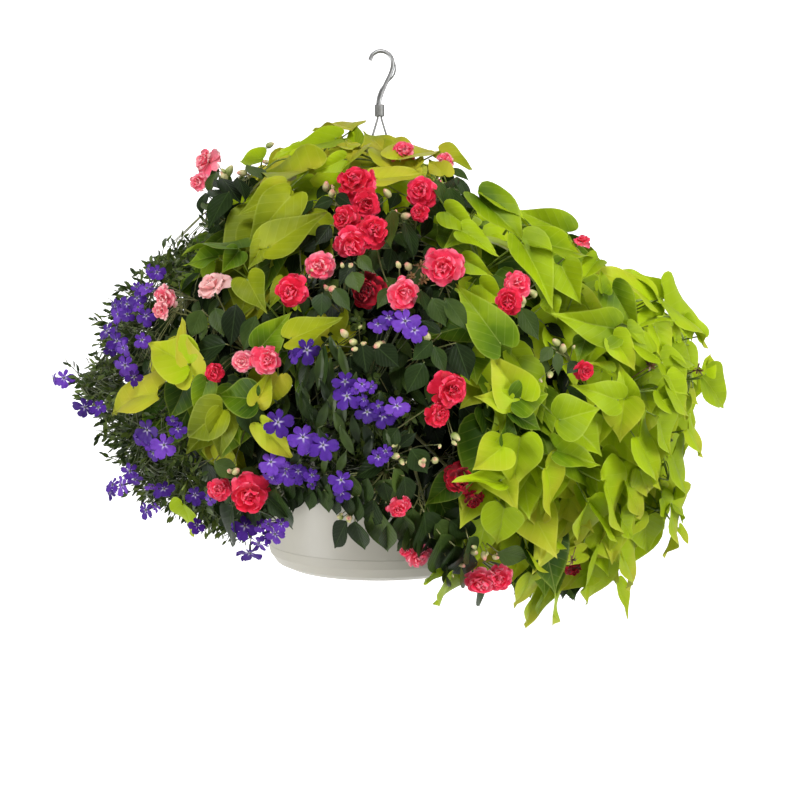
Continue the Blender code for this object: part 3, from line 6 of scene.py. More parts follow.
import bpy
import numpy as np
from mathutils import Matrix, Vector


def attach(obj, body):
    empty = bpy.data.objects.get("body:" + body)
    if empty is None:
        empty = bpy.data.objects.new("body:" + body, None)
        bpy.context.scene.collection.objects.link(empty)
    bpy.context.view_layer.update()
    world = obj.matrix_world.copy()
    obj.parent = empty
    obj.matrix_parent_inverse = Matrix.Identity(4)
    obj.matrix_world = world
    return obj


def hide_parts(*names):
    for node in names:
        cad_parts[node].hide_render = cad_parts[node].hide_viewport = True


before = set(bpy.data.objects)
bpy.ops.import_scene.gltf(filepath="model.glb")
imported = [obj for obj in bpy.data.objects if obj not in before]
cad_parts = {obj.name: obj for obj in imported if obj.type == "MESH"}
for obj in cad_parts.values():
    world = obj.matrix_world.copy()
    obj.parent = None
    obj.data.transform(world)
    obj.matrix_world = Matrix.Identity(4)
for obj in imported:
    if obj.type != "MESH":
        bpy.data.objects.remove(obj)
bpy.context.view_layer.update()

SEED = 11
TURN = 2.0 * math.pi
TINY = 1e-9
UP = np.array((0.0, 0.0, 1.0))
SIDEWAYS = np.array((1.0, 0.0, 0.0))
PLAIN_TINT = 0.5

# Sight lines of the photo, which turn a picture point into a place
PHOTO_CENTRE = 400.0
PHOTO_PX = 800.0
FOCAL_PX = 2017.0
SENSOR_MM = 36.0
PX = 0.00119
EYE = np.array((0.0241, -2.4, -0.1452))
PITCH = math.radians(6.3)

# Pot, saucer and hanger
BASE_Z = -0.6085
SEAM_Z = BASE_Z + 0.0285
RIM_Z = BASE_Z + 0.178
FLOOR_Z = BASE_Z + 0.007
WALL = 0.0024
RIM_RADIUS = 0.1525
RIM_INNER = 0.1445
SOIL_Z = RIM_Z - 0.018
POT_CLEAR = 0.164
RIM_ROOM = 0.02
ROD_RADIUS = 0.00225
WIRE_RADIUS = 0.0011
SLEEVE_RADIUS = 0.0056
SLEEVE_TOP = -0.060
SLEEVE_BOTTOM = -0.074
WIRE_RING = 0.0030
RIM_HOLE_RING = 0.1485
WIRE_ANGLES = (45.0, 135.0, 225.0, 315.0)
HOOK_LINE = (
    (-0.0112, -0.0085), (-0.0088, -0.0028), (-0.0048, 0.0005), (0.0000, 0.00225), (0.0064, 0.0013),
    (0.0118, -0.0022), (0.0150, -0.0080), (0.0154, -0.0150), (0.0130, -0.0240), (0.0076, -0.0352),
    (0.0030, -0.0460), (0.0, -0.0560), (0.0, -0.0660),
)
KEEPER_RADIUS = 0.0009
KEEPER_LINE = (
    (0.0088, 0.0030, -0.0006), (0.0146, 0.0022, -0.0070), (0.0186, 0.0010, -0.0155),
    (0.0170, 0.0024, -0.0250), (0.0092, 0.0038, -0.0340), (0.0022, 0.0020, -0.0410),
    (-0.0016, 0.0006, -0.0500), (-0.0030, 0.0, -0.0590), (-0.0026, 0.0, -0.0680),
)

# Body of the foliage: its half depth, its middle in the photo and the outline it shows there
CANOPY_AX = 0.405
CANOPY_AY = 0.345
CANOPY_AZ = 0.315
MIDDLE_PX = (395.0, 385.0)
OUTLINE = (
    (205, 156), (250, 156), (290, 138), (330, 126), (370, 132), (400, 142), (425, 150), (450, 154),
    (470, 178), (478, 198), (505, 205), (540, 212), (568, 228), (592, 246), (605, 262), (640, 274),
    (664, 302), (698, 322), (710, 348), (722, 380), (722, 402), (708, 422), (698, 455), (686, 500),
    (680, 538), (652, 550), (638, 576), (622, 600), (600, 596), (575, 606), (556, 614), (532, 612),
    (510, 600), (485, 592), (462, 590), (444, 596), (432, 572), (420, 548), (396, 542), (366, 540),
    (338, 534), (322, 512), (300, 502), (284, 524), (262, 540), (240, 548), (214, 540), (190, 530),
    (170, 514), (148, 506), (128, 488), (112, 462), (100, 438), (92, 414), (76, 400), (68, 384),
    (88, 358), (94, 330), (112, 296), (134, 270), (160, 248), (188, 238), (204, 208), (198, 180),
)
OUTLINE_STEPS = 360
FILL_SPOTS = 2600
INNER_SPOTS = 2500
BACK_HEADS = 110
GOLDEN_TURN = math.pi * (3.0 - math.sqrt(5.0))

# Half of each leaf's or petal's outline as (along, across) pairs
HEART = (
    (-0.015, 0.0), (-0.085, 0.07), (-0.150, 0.17), (-0.155, 0.29), (-0.085, 0.405), (0.05, 0.485),
    (0.21, 0.485), (0.38, 0.415), (0.55, 0.300), (0.71, 0.175), (0.85, 0.075), (0.94, 0.024), (1.0, 0.0),
)
OVATE = (
    (0.0, 0.02), (0.10, 0.46), (0.25, 0.86), (0.42, 1.0), (0.60, 0.84), (0.76, 0.50), (0.90, 0.16),
    (1.0, 0.02),
)
LANCE = ((0.0, 0.10), (0.35, 0.85), (0.60, 1.0), (0.85, 0.55), (1.0, 0.04))
ROUND_PETAL = ((0.0, 0.20), (0.22, 0.55), (0.45, 0.86), (0.68, 1.0), (0.86, 0.94), (0.96, 0.68), (1.0, 0.30))
LOBE_PETAL = ((0.0, 0.14), (0.24, 0.48), (0.50, 0.92), (0.72, 1.0), (0.90, 0.80), (1.0, 0.30))
LONG_LEAF = ((0.0, 0.12), (0.18, 0.62), (0.40, 1.0), (0.62, 0.86), (0.82, 0.46), (1.0, 0.03))

# Stems of every plant: hole in the compost, trunk, and branches as picture points with a share
# of the way out to the front; a negative share lies behind the hanging axis
LIME_STEMS = {
    "lime_vine_top_left": ((-0.055, 0.045), [(340, 330, -0.25), (300, 250, -0.15)], [
        [(285, 225, 0.30), (265, 215, 0.55)], [(275, 185, 0.30), (260, 175, 0.60)],
        [(310, 175, 0.20), (318, 160, 0.4)], [(245, 250, 0.3), (215, 262, 0.55)],
        [(300, 170, -0.2), (290, 155, -0.1)]]),
    "lime_vine_left": ((-0.086, -0.038), [(270, 400, 0.45), (235, 385, 0.62)], [
        [(205, 378, 0.72), (180, 372, 0.78)], [(222, 410, 0.74), (205, 440, 0.82)],
        [(240, 350, 0.6), (262, 335, 0.74), (285, 325, 0.78)],
        [(250, 420, 0.68), (275, 440, 0.80)], [(205, 450, 0.6), (182, 490, 0.66)],
        [(250, 310, 0.6), (258, 285, 0.72)]]),
    "lime_vine_top": ((0.004, 0.081), [(385, 300, -0.40), (385, 200, -0.32)], [
        [(385, 165, -0.1), (385, 150, 0.3)], [(350, 160, -0.1), (335, 150, 0.2)],
        [(425, 175, -0.1), (430, 160, 0.25)], [(400, 185, 0.1), (402, 176, 0.5)]]),
    "lime_vine_upper_right": ((0.060, 0.040), [(470, 330, -0.10), (490, 270, 0.20)], [
        [(475, 245, 0.50), (462, 235, 0.62)], [(505, 232, 0.50), (520, 226, 0.70)],
        [(535, 255, 0.50), (560, 248, 0.65)], [(540, 280, 0.5), (575, 285, 0.70)],
        [(480, 285, 0.55), (482, 272, 0.72)]]),
    "lime_vine_right": ((0.100, 0.015), [(520, 380, 0.05), (580, 335, 0.25)], [
        [(610, 315, 0.45), (640, 300, 0.50), (660, 305, 0.45)],
        [(615, 345, 0.50), (650, 345, 0.60), (685, 345, 0.5)],
        [(620, 375, 0.50), (660, 385, 0.60), (690, 375, 0.5)],
        [(600, 310, 0.4), (600, 285, 0.50)], [(590, 330, 0.6), (600, 325, 0.78)]]),
    "lime_vine_low_right": ((0.100, -0.040), [(530, 430, 0.30), (575, 430, 0.52)], [
        [(590, 410, 0.72), (610, 395, 0.80)], [(570, 412, 0.74), (555, 405, 0.82)],
        [(615, 435, 0.62), (650, 425, 0.74), (672, 440, 0.72)],
        [(610, 465, 0.66), (645, 475, 0.74), (668, 480, 0.72)],
        [(580, 460, 0.70), (565, 462, 0.82)], [(600, 490, 0.66), (620, 505, 0.78)],
        [(640, 500, 0.6), (665, 512, 0.66)]]),
    "lime_vine_front_right": ((0.065, -0.085), [(490, 430, 0.50), (505, 415, 0.66)], [
        [(500, 375, 0.72), (490, 345, 0.80)], [(520, 400, 0.78), (530, 395, 0.84)],
        [(515, 440, 0.76), (518, 450, 0.84)], [(495, 460, 0.70), (480, 485, 0.80)],
        [(515, 480, 0.72), (520, 500, 0.82)]]),
    "lime_vine_bottom_right": ((0.085, -0.070), [(520, 490, 0.36), (540, 515, 0.50)], [
        [(540, 545, 0.66), (545, 572, 0.78)], [(565, 525, 0.66), (585, 530, 0.80)],
        [(590, 545, 0.56), (612, 560, 0.70)], [(550, 490, 0.66), (548, 480, 0.80)],
        [(500, 535, 0.60), (470, 560, 0.70), (448, 570, 0.74)]]),
    "lime_vine_back_right": ((0.055, 0.085), [(500, 400, -0.50), (540, 370, -0.60)], [
        [(590, 320, -0.66), (620, 300, -0.74)], [(600, 380, -0.70), (640, 400, -0.78)],
        [(590, 440, -0.70), (620, 480, -0.80)], [(530, 310, -0.74), (500, 250, -0.80)],
        [(530, 450, -0.7), (520, 510, -0.82)]]),
    "lime_vine_back_left": ((-0.030, 0.105), [(330, 410, -0.55), (300, 380, -0.64)], [
        [(270, 330, -0.70), (250, 270, -0.78)], [(240, 400, -0.74), (200, 420, -0.80)],
        [(300, 440, -0.72), (290, 510, -0.80)]]),
}
IMPATIENS_STEMS = {
    "impatiens_centre": ((0.010, -0.030), [(390, 370, 0.20), (388, 320, 0.40)], [
        [(375, 280, 0.60), (358, 250, 0.72), (355, 215, 0.76)],
        [(405, 270, 0.58), (412, 240, 0.70), (420, 205, 0.76)],
        [(430, 300, 0.66), (445, 285, 0.76)], [(400, 300, 0.66), (395, 300, 0.80)],
        [(370, 320, 0.66), (345, 318, 0.80)], [(425, 330, 0.68), (440, 335, 0.82)],
        [(405, 230, 0.40), (440, 190, 0.55)], [(380, 345, 0.70), (365, 350, 0.84)]]),
    "impatiens_left": ((-0.060, -0.020), [(310, 360, 0.30), (290, 320, 0.46)], [
        [(300, 300, 0.66), (305, 290, 0.80)], [(245, 320, 0.62), (215, 325, 0.72)],
        [(262, 345, 0.64), (245, 350, 0.80)], [(250, 270, 0.40), (235, 225, 0.45)],
        [(240, 200, 0.30), (225, 190, 0.40)], [(200, 300, 0.55), (185, 300, 0.66)]]),
    "impatiens_front": ((-0.010, -0.100), [(395, 440, 0.60), (405, 425, 0.72)], [
        [(430, 400, 0.76), (445, 395, 0.84)], [(395, 450, 0.80), (385, 470, 0.85)],
        [(415, 470, 0.80), (430, 520, 0.80), (435, 555, 0.76)],
        [(450, 470, 0.74), (462, 490, 0.80), (474, 555, 0.76)],
        [(415, 370, 0.76), (420, 355, 0.84)], [(375, 490, 0.82), (355, 505, 0.88)]]),
    "impatiens_front_left": ((-0.085, -0.085), [(290, 450, 0.56), (265, 460, 0.66)], [
        [(245, 475, 0.72), (235, 490, 0.80)], [(272, 490, 0.76), (276, 500, 0.84)],
        [(235, 440, 0.68), (250, 415, 0.78)]]),
    "impatiens_right": ((0.085, -0.010), [(480, 370, 0.30), (520, 340, 0.50)], [
        [(518, 315, 0.68), (515, 300, 0.80)], [(545, 350, 0.68), (572, 362, 0.80)],
        [(540, 300, 0.40), (570, 262, 0.36)]]),
    "impatiens_back": ((0.005, 0.060), [(400, 400, -0.50), (410, 350, -0.62)], [
        [(420, 290, -0.76), (420, 230, -0.84)], [(370, 320, -0.74), (340, 260, -0.84)],
        [(400, 420, -0.76), (380, 480, -0.84)], [(460, 340, -0.72), (480, 300, -0.84)]]),
}
LOBELIA_STEMS = {
    "lobelia_left": ((-0.105, 0.020), [(240, 380, 0.25), (185, 340, 0.45)], [
        [(160, 310, 0.60), (150, 292, 0.70)], [(145, 330, 0.58), (118, 325, 0.66)],
        [(140, 365, 0.56), (105, 378, 0.60), (80, 385, 0.4)],
        [(180, 290, 0.40), (175, 262, 0.4)]]),
    "lobelia_low_left": ((-0.115, -0.020), [(215, 430, 0.45), (170, 440, 0.60)], [
        [(150, 440, 0.75), (140, 438, 0.85)], [(145, 465, 0.70), (138, 478, 0.80)],
        [(165, 475, 0.72), (170, 492, 0.82)], [(190, 480, 0.74), (200, 498, 0.84)],
        [(130, 420, 0.66), (112, 412, 0.74)]]),
    "lobelia_centre": ((-0.045, -0.105), [(325, 440, 0.66), (322, 420, 0.76)], [
        [(315, 385, 0.80), (310, 368, 0.86)], [(345, 420, 0.82), (362, 405, 0.88)],
        [(295, 435, 0.80), (282, 440, 0.86)], [(300, 460, 0.80), (295, 470, 0.86)],
        [(335, 460, 0.82), (345, 470, 0.88)]]),
    "lobelia_bottom_left": ((-0.105, -0.055), [(250, 495, 0.52), (245, 505, 0.66)], [
        [(250, 520, 0.74), (252, 535, 0.82)], [(270, 515, 0.76), (278, 522, 0.84)]]),
    "lobelia_back_left": ((-0.085, 0.070), [(250, 420, -0.35), (210, 380, -0.45)], [
        [(170, 350, -0.56), (140, 330, -0.60)], [(170, 400, -0.6), (130, 420, -0.66)],
        [(215, 300, -0.60), (190, 250, -0.62)]]),
}

# Lime leaves: stalk end, tip and width as the photo shows them, and a share of the depth
LIME_LEAVES = (
    (157, 396, 99, 403, 38), (188, 364, 143, 340, 46), (193, 376, 174, 317, 28),
    (186, 382, 169, 424, 34, 0.9), (207, 382, 194, 421, 24), (255, 399, 213, 395, 36),
    (258, 402, 271, 370, 22), (264, 374, 258, 411, 28, 0.9), (222, 410, 180, 443, 38),
    (224, 412, 219, 461, 30), (184, 505, 190, 540, 18, 0.92), (236, 398, 244, 434, 30, 0.9),
    (278, 376, 268, 410, 28, 0.96), (306, 366, 300, 414, 16, 0.96), (262, 425, 297, 465, 26),
    (218, 257, 180, 263, 18), (238, 248, 180, 243, 12), (238, 252, 221, 273, 22),
    (262, 246, 249, 269, 20), (290, 198, 243, 247, 38), (268, 247, 326, 206, 34),
    (283, 190, 237, 214, 28), (308, 172, 249, 162, 32), (336, 138, 271, 155, 18),
    (295, 158, 323, 152, 16), (262, 158, 236, 160, 18), (343, 160, 314, 172, 20),
    (360, 148, 335, 170, 16), (351, 131, 314, 120, 10), (350, 150, 346, 134, 10), (352, 150, 330, 143, 8),
    (392, 168, 369, 129, 34), (400, 160, 452, 141, 20), (440, 152, 473, 169, 16),
    (378, 180, 428, 170, 20), (276, 250, 262, 293, 26, 0.85), (247, 279, 265, 312, 32),
    (284, 282, 268, 310, 16, 0.9), (262, 346, 291, 311, 30), (291, 338, 342, 316, 26),
    (447, 212, 480, 235, 26), (470, 228, 444, 248, 22, 0.9), (463, 232, 500, 256, 20),
    (464, 260, 494, 276, 20), (480, 198, 532, 250, 32), (486, 197, 536, 228, 14),
    (566, 232, 514, 207, 32), (522, 242, 557, 305, 34), (536, 243, 602, 257, 20),
    (562, 267, 581, 305, 34), (597, 260, 579, 279, 20), (550, 300, 557, 319, 20, 0.9),
    (612, 328, 557, 317, 38), (612, 289, 640, 336, 32), (648, 300, 596, 261, 22),
    (603, 292, 601, 267, 12), (662, 298, 626, 266, 16), (662, 316, 631, 323, 22),
    (664, 303, 714, 346, 24), (701, 336, 688, 311, 14), (676, 340, 673, 318, 9), (655, 327, 673, 373, 22),
    (650, 353, 614, 330, 20), (628, 328, 649, 347, 14), (672, 352, 701, 364, 22),
    (663, 362, 692, 399, 26), (667, 385, 693, 420, 24), (706, 374, 713, 351, 16),
    (703, 378, 728, 410, 30), (656, 390, 681, 416, 26), (656, 416, 677, 460, 32),
    (686, 430, 708, 458, 18), (670, 456, 690, 505, 22), (635, 438, 667, 491, 32),
    (624, 400, 619, 444, 40), (618, 400, 578, 386, 32), (560, 420, 601, 408, 44),
    (556, 452, 607, 461, 30), (603, 418, 598, 447, 22, 0.9), (520, 398, 489, 352, 42),
    (508, 402, 476, 396, 22), (514, 400, 552, 394, 34), (512, 412, 544, 432, 20),
    (505, 440, 510, 405, 14), (503, 447, 472, 471, 38), (520, 438, 513, 495, 44),
    (504, 508, 497, 550, 40), (545, 470, 560, 530, 26), (587, 502, 582, 551, 34),
    (592, 500, 630, 545, 26), (600, 481, 624, 540, 32), (621, 518, 636, 541, 22),
    (645, 520, 648, 555, 34), (672, 503, 678, 558, 15), (679, 528, 692, 545, 10),
    (625, 480, 652, 520, 32, 0.9), (671, 500, 686, 523, 10), (600, 547, 589, 609, 38),
    (620, 545, 635, 592, 20), (617, 584, 631, 620, 13), (550, 578, 564, 628, 24),
    (536, 584, 527, 630, 22), (531, 574, 516, 612, 24), (545, 588, 539, 620, 20),
    (528, 549, 560, 573, 26, 0.9), (582, 552, 548, 562, 20, 0.9), (455, 480, 424, 506, 28, 0.9),
    (500, 481, 453, 477, 20), (500, 343, 455, 281, 40), (472, 350, 478, 378, 22, 0.85),
    (482, 410, 492, 446, 18, 0.85), (585, 340, 578, 363, 22, 0.9), (612, 372, 592, 360, 10, 0.9),
    (628, 399, 620, 364, 24), (453, 570, 440, 612, 24), (434, 571, 425, 588, 12),
    (480, 285, 505, 305, 26, 0.85), (640, 350, 655, 372, 24, 0.85), (530, 520, 512, 545, 26, 0.8),
    (545, 530, 578, 548, 24, 0.85), (602, 450, 612, 480, 26, 0.8), (640, 470, 650, 500, 28, 0.85),
    (560, 480, 580, 500, 26, 0.85),
)

# Impatiens leaves, listed the same way
IMPATIENS_LEAVES = (
    (216, 172, 207, 192, 10), (229, 192, 207, 226, 20), (222, 178, 241, 200, 16),
    (238, 178, 248, 198, 12), (205, 193, 199, 212, 8), (236, 205, 226, 222, 14, 0.8),
    (450, 168, 470, 178, 7), (457, 177, 471, 198, 9), (438, 180, 448, 206, 13), (450, 188, 460, 214, 15),
    (420, 205, 441, 214, 14, 0.8), (392, 210, 388, 246, 14), (404, 222, 419, 254, 11),
    (354, 262, 339, 285, 14), (352, 272, 359, 292, 18), (358, 256, 373, 272, 13),
    (336, 195, 351, 205, 12), (333, 199, 314, 207, 12), (322, 293, 321, 316, 18),
    (334, 288, 350, 310, 14), (390, 288, 377, 308, 13), (421, 290, 430, 316, 9), (432, 298, 446, 326, 19),
    (445, 298, 469, 330, 18), (441, 333, 420, 319, 10), (456, 343, 470, 381, 24),
    (432, 341, 412, 361, 16), (424, 363, 407, 394, 22), (434, 346, 446, 374, 14),
    (362, 343, 366, 372, 20), (376, 346, 399, 367, 22), (350, 356, 352, 385, 22, 0.9),
    (460, 403, 482, 426, 20, 0.85), (398, 428, 384, 448, 17), (400, 446, 416, 433, 11),
    (411, 449, 429, 476, 22), (388, 460, 350, 476, 18), (391, 479, 380, 503, 22),
    (394, 468, 403, 500, 14), (404, 476, 408, 510, 18), (347, 521, 333, 549, 18),
    (355, 521, 364, 552, 18), (378, 508, 386, 555, 26), (413, 508, 400, 548, 26),
    (424, 512, 432, 562, 26), (462, 506, 450, 540, 26, 0.9), (440, 534, 441, 578, 24),
    (468, 552, 446, 590, 24), (478, 582, 484, 608, 13), (498, 552, 530, 560, 20),
    (233, 506, 221, 549, 24), (250, 502, 246, 535, 18), (268, 498, 289, 518, 18),
    (276, 488, 286, 536, 20), (214, 462, 240, 476, 18), (202, 310, 190, 338, 20),
    (215, 308, 224, 336, 18), (236, 304, 230, 346, 22), (256, 316, 242, 352, 18),
    (226, 344, 186, 352, 22), (250, 402, 252, 438, 26), (300, 390, 312, 426, 9), (308, 364, 299, 392, 10),
    (325, 345, 318, 394, 10), (520, 308, 540, 340, 18), (552, 347, 540, 362, 12),
    (578, 362, 567, 373, 12), (556, 352, 560, 376, 10), (345, 455, 330, 470, 16, 0.85),
    (410, 540, 396, 552, 12), (300, 250, 318, 235, 18, 0.85), (450, 520, 472, 540, 20, 0.9),
    (455, 546, 449, 577, 18), (468, 538, 477, 568, 18), (430, 538, 424, 567, 16),
    (446, 556, 457, 588, 16), (436, 520, 452, 548, 20, 0.94), (462, 560, 470, 590, 16, 0.96),
    (374, 500, 369, 532, 20), (393, 518, 388, 553, 20), (408, 526, 414, 556, 18),
    (421, 528, 428, 562, 18), (386, 503, 374, 528, 18), (400, 512, 410, 540, 18),
    (310, 470, 304, 498, 14), (326, 474, 330, 502, 14), (350, 474, 356, 503, 15),
    (368, 478, 364, 506, 15), (384, 482, 390, 506, 14), (340, 478, 342, 501, 13),
    (292, 478, 286, 504, 13), (318, 486, 314, 507, 12), (312, 488, 308, 512, 13),
    (324, 490, 328, 515, 13), (336, 494, 334, 518, 12), (346, 494, 350, 519, 13),
    (358, 496, 356, 524, 14), (300, 486, 296, 508, 12), (330, 484, 322, 506, 12),
    (342, 486, 340, 508, 12), (375, 370, 392, 395, 18, 0.85), (330, 225, 316, 245, 16, 0.85),
    (470, 520, 462, 545, 16, 0.9), (250, 380, 280, 400, 20, 0.8), (240, 470, 262, 486, 20, 0.85),
)

# Double blooms in their sprays: centre, radius, turn sideways and up, and how pale they are;
# those below nought are painted darker as shade and sit deeper
BLOOMS = {
    "blooms_crown": [(356, 182, 18, -0.2, 0.6, 0.05), (367, 203, 13, 0.4, 0.0, 0.0),
        (345, 219, 13, -0.9, 0.0, 0.0), (375, 231, 14, 0.7, 0.1, 0.0), (351, 243, 15, -0.1, -0.3, 0.15)],
    "blooms_upper_centre": [(404, 152, 12, -1.2, 0.8, 0.35), (421, 191, 14, -0.1, 0.2, 0.1),
        (420, 213, 8, 0.2, -0.6, 0.1), (446, 160, 8, 0.2, 0.5, 0.5)],
    "blooms_top_left": [(207, 161, 14, -0.3, 0.3, 0.6), (199, 182, 9, -0.6, -0.4, 0.6)],
    "blooms_left_centre": [(320, 266, 12, 0.1, 0.1, 0.45), (292, 291, 14, 0.1, -0.1, 0.1)],
    "blooms_middle": [(366, 290, 15, 0.0, 0.4, -0.30), (403, 294, 14, 0.2, -0.4, 0.35)],
    "blooms_right_centre": [(444, 267, 17, 0.0, -0.3, 0.25)],
    "blooms_left": [(213, 286, 15, 0.0, 0.6, 0.95), (165, 298, 12, -0.2, 0.2, 0.6),
        (161, 310, 9, -0.3, -0.5, 0.7)],
    "blooms_low_left": [(243, 361, 10, -0.3, 0.3, 0.6), (266, 360, 13, 0.5, -0.3, 0.4),
        (214, 373, 9, 0.2, -0.8, 0.0)],
    "blooms_centre": [(449, 391, 16, 0.5, 0.2, 0.0), (439, 415, 11, -0.1, -0.3, 0.0)],
    "blooms_right": [(518, 284, 12, 0.3, 0.7, 0.35), (510, 301, 12, -0.2, 0.0, 0.0)],
    "blooms_top_right": [(582, 241, 8, 0.3, 0.5, 0.3)],
    "blooms_far_right": [(585, 371, 9, 0.2, 0.1, 0.0)],
    "blooms_bottom_left": [(219, 490, 11, -0.3, 0.1, 0.3), (250, 495, 18, 0.1, -0.1, 0.1)],
    "blooms_front": [(399, 507, 11, 0.1, -0.1, 0.25)],
    "blooms_shade": [(461, 478, 14, 0.0, 0.2, -0.26), (474, 500, 9, 0.0, -0.4, -0.3)],
    "blooms_pot_side": [(419, 557, 12, 0.0, -0.2, 0.4), (405, 551, 5, -0.8, 0.0, 0.3)],
    "blooms_bottom_right": [(480, 582, 15, -0.3, -0.4, 0.3), (500, 577, 12, 0.3, 0.0, 0.3)],
    "blooms_low_right": [(573, 570, 8, 0.2, -0.2, -0.30)],
    "blooms_back": [(420, 240, 17, 0.1, 0.2, 0.1), (446, 262, 15, 0.3, 0.0, 0.3),
        (350, 300, 15, -0.3, 0.0, 0.0)],
}

# Lobelia flowers in their sprays: centre, radius, and turn sideways and up
VIOLETS = {
    "violets_upper_left": [(157, 272, 8, -0.2, 0.3), (147, 288, 8, -0.3, 0.2), (137, 298, 9, -0.4, 0.0),
        (127, 304, 9, -0.7, 0.0), (146, 316, 9, 0.0, -0.2)],
    "violets_left": [(118, 314, 9, -0.7, 0.2), (107, 331, 10, -0.5, 0.0), (117, 341, 10, 0.0, -0.3),
        (142, 340, 8, 0.3, 0.0), (125, 365, 11, 0.0, -0.2)],
    "violets_far_left": [(64, 378, 10, -0.7, -0.1), (85, 407, 11, -0.3, -0.3)],
    "violets_low_left": [(147, 430, 12, -0.2, 0.0), (164, 445, 12, 0.1, 0.0), (178, 429, 8, 0.5, 0.0)],
    "violets_lower_left": [(130, 471, 9, -0.1, 0.2), (122, 485, 10, -0.3, -0.1),
        (146, 510, 9, -0.9, -0.9), (164, 489, 10, 0.0, 1.0)],
    "violets_low_hang": [(195, 495, 9, 0.0, 0.9), (210, 499, 6, 0.0, 0.0), (197, 525, 8, 0.2, -1.2)],
    "violets_bottom_left": [(245, 526, 12, 0.0, 0.4), (275, 534, 9, -0.3, -0.2), (281, 524, 7, 0.3, 0.0),
        (250, 553, 12, 0.0, -1.8)],
    "violets_centre_left": [(307, 350, 12, 0.0, 0.0), (278, 422, 13, 0.0, 0.0), (303, 437, 14, 0.0, 0.0),
        (323, 445, 13, 0.2, 0.0)],
    "violets_low_centre": [(271, 462, 12, -0.2, 0.0), (286, 473, 11, 0.0, -0.2), (300, 474, 9, 0.2, 0.0),
        (312, 475, 7, 0.6, 0.0), (341, 480, 11, 0.2, -0.2)],
    "violets_centre": [(347, 396, 12, 0.0, 0.0), (362, 384, 7, 0.6, 0.2), (367, 412, 10, 0.2, 0.0),
        (383, 416, 10, -0.1, 0.0), (397, 406, 11, 0.3, 0.0), (378, 457, 9, -0.3, 0.0)],
    "violets_upper_centre": [(405, 321, 13, 0.1, 0.0), (378, 324, 9, 0.0, 0.2)],
    "violets_back": [(150, 350, 12, -0.2, 0.1), (178, 372, 12, 0.1, 0.0), (160, 396, 12, 0.0, -0.2)],
}

# Tips of the thin lobelia shoots
SHOOT_TIPS = (
    (120, 285), (135, 275), (150, 262), (160, 255), (166, 240), (115, 290), (94, 320), (100, 335),
    (97, 345), (93, 355), (66, 361), (88, 362), (75, 378), (80, 385), (100, 375), (110, 400), (120, 415),
    (100, 425), (98, 440), (104, 455), (120, 455), (140, 475), (150, 485), (145, 492), (160, 500),
    (170, 450), (190, 460), (200, 470), (205, 490), (205, 510), (208, 520), (206, 533), (235, 540),
    (260, 530), (185, 235), (195, 235), (210, 235), (190, 255), (180, 275), (330, 400), (335, 420),
    (340, 440), (290, 455), (320, 460), (355, 430),
)

# Long leaves in the middle of the front: stalk end, tip and width
LONG_LEAVES = (
    (322, 350, 316, 392, 10), (331, 358, 328, 402, 10), (339, 346, 348, 382, 9), (314, 366, 303, 400, 10),
    (302, 382, 308, 424, 12), (296, 392, 314, 426, 11), (335, 388, 326, 428, 10),
    (344, 396, 338, 436, 11), (327, 400, 316, 438, 10), (352, 416, 358, 448, 10),
    (364, 424, 374, 452, 11), (340, 426, 354, 458, 10), (318, 428, 332, 456, 9), (308, 344, 300, 372, 8),
    (330, 336, 338, 366, 8), (372, 438, 362, 462, 9), (386, 430, 398, 452, 9), (356, 372, 352, 398, 8),
    (320, 380, 334, 412, 9), (310, 404, 322, 432, 9), (346, 452, 336, 476, 9), (328, 456, 318, 478, 8),
    (300, 452, 288, 470, 8), (292, 350, 286, 376, 8), (380, 392, 384, 418, 8), (334, 412, 346, 440, 10),
    (300, 478, 306, 503, 8), (318, 480, 323, 506, 9), (334, 484, 339, 510, 9), (350, 480, 345, 506, 9),
    (362, 484, 359, 512, 8), (290, 480, 284, 504, 8),
)

# Buds: centre, radius and how pale they are
BUDS = (
    (387, 193, 4, 0.8), (406, 216, 4, 0.7), (350, 266, 3.5, 0.9), (311, 276, 3, 1.0), (332, 289, 4, 0.6),
    (408, 266, 4, 0.8), (344, 333, 4, 0.9), (353, 342, 4, 0.8), (363, 344, 3, 1.0), (378, 345, 4, 0.7),
    (427, 336, 4, 0.8), (456, 437, 4, 1.0), (396, 456, 4, 0.9), (402, 462, 3, 0.8), (422, 463, 4, 0.7),
    (435, 460, 4, 0.9), (340, 517, 3, 1.0), (349, 518, 4, 0.8), (462, 565, 3, 0.8), (474, 552, 4, 0.9),
    (484, 556, 3.5, 0.8), (496, 557, 3.5, 0.7), (236, 471, 4, 0.6), (229, 171, 5, 1.0),
    (224, 176, 4, 1.0), (242, 173, 4, 0.7), (255, 155, 4, 0.4), (326, 186, 4, 0.8), (332, 193, 4, 0.7),
    (270, 145, 3.5, 1.0), (533, 293, 4, 0.9), (523, 300, 3.5, 0.8), (556, 342, 4, 1.0),
    (563, 348, 4, 0.9), (550, 375, 3.5, 0.8),
)

# Dried heads: centre and radius
DRIED = ((420, 266, 8), (424, 280, 7), (412, 276, 5), (650, 366, 8), (697, 370, 7), (572, 560, 6))


def unit(vector):
    """The same direction at length one."""
    return vector / max(float(np.linalg.norm(vector)), TINY)


def gap_between(start, end):
    """The distance between two places."""
    return float(np.linalg.norm(end - start))


def cross_guide(ahead, limit=0.9):
    """A direction well away from this one, to set sideways by."""
    return UP if abs(ahead[2]) < limit else SIDEWAYS


def drawn(ranges, rng):
    """One value out of each range; a plain number stays as it is."""
    return tuple(rng.uniform(*ends) if isinstance(ends, tuple) else ends for ends in ranges)


def scatter(spread, rng):
    """A random shift of about this size."""
    return np.array([rng.gauss(0.0, spread) for _ in range(3)])


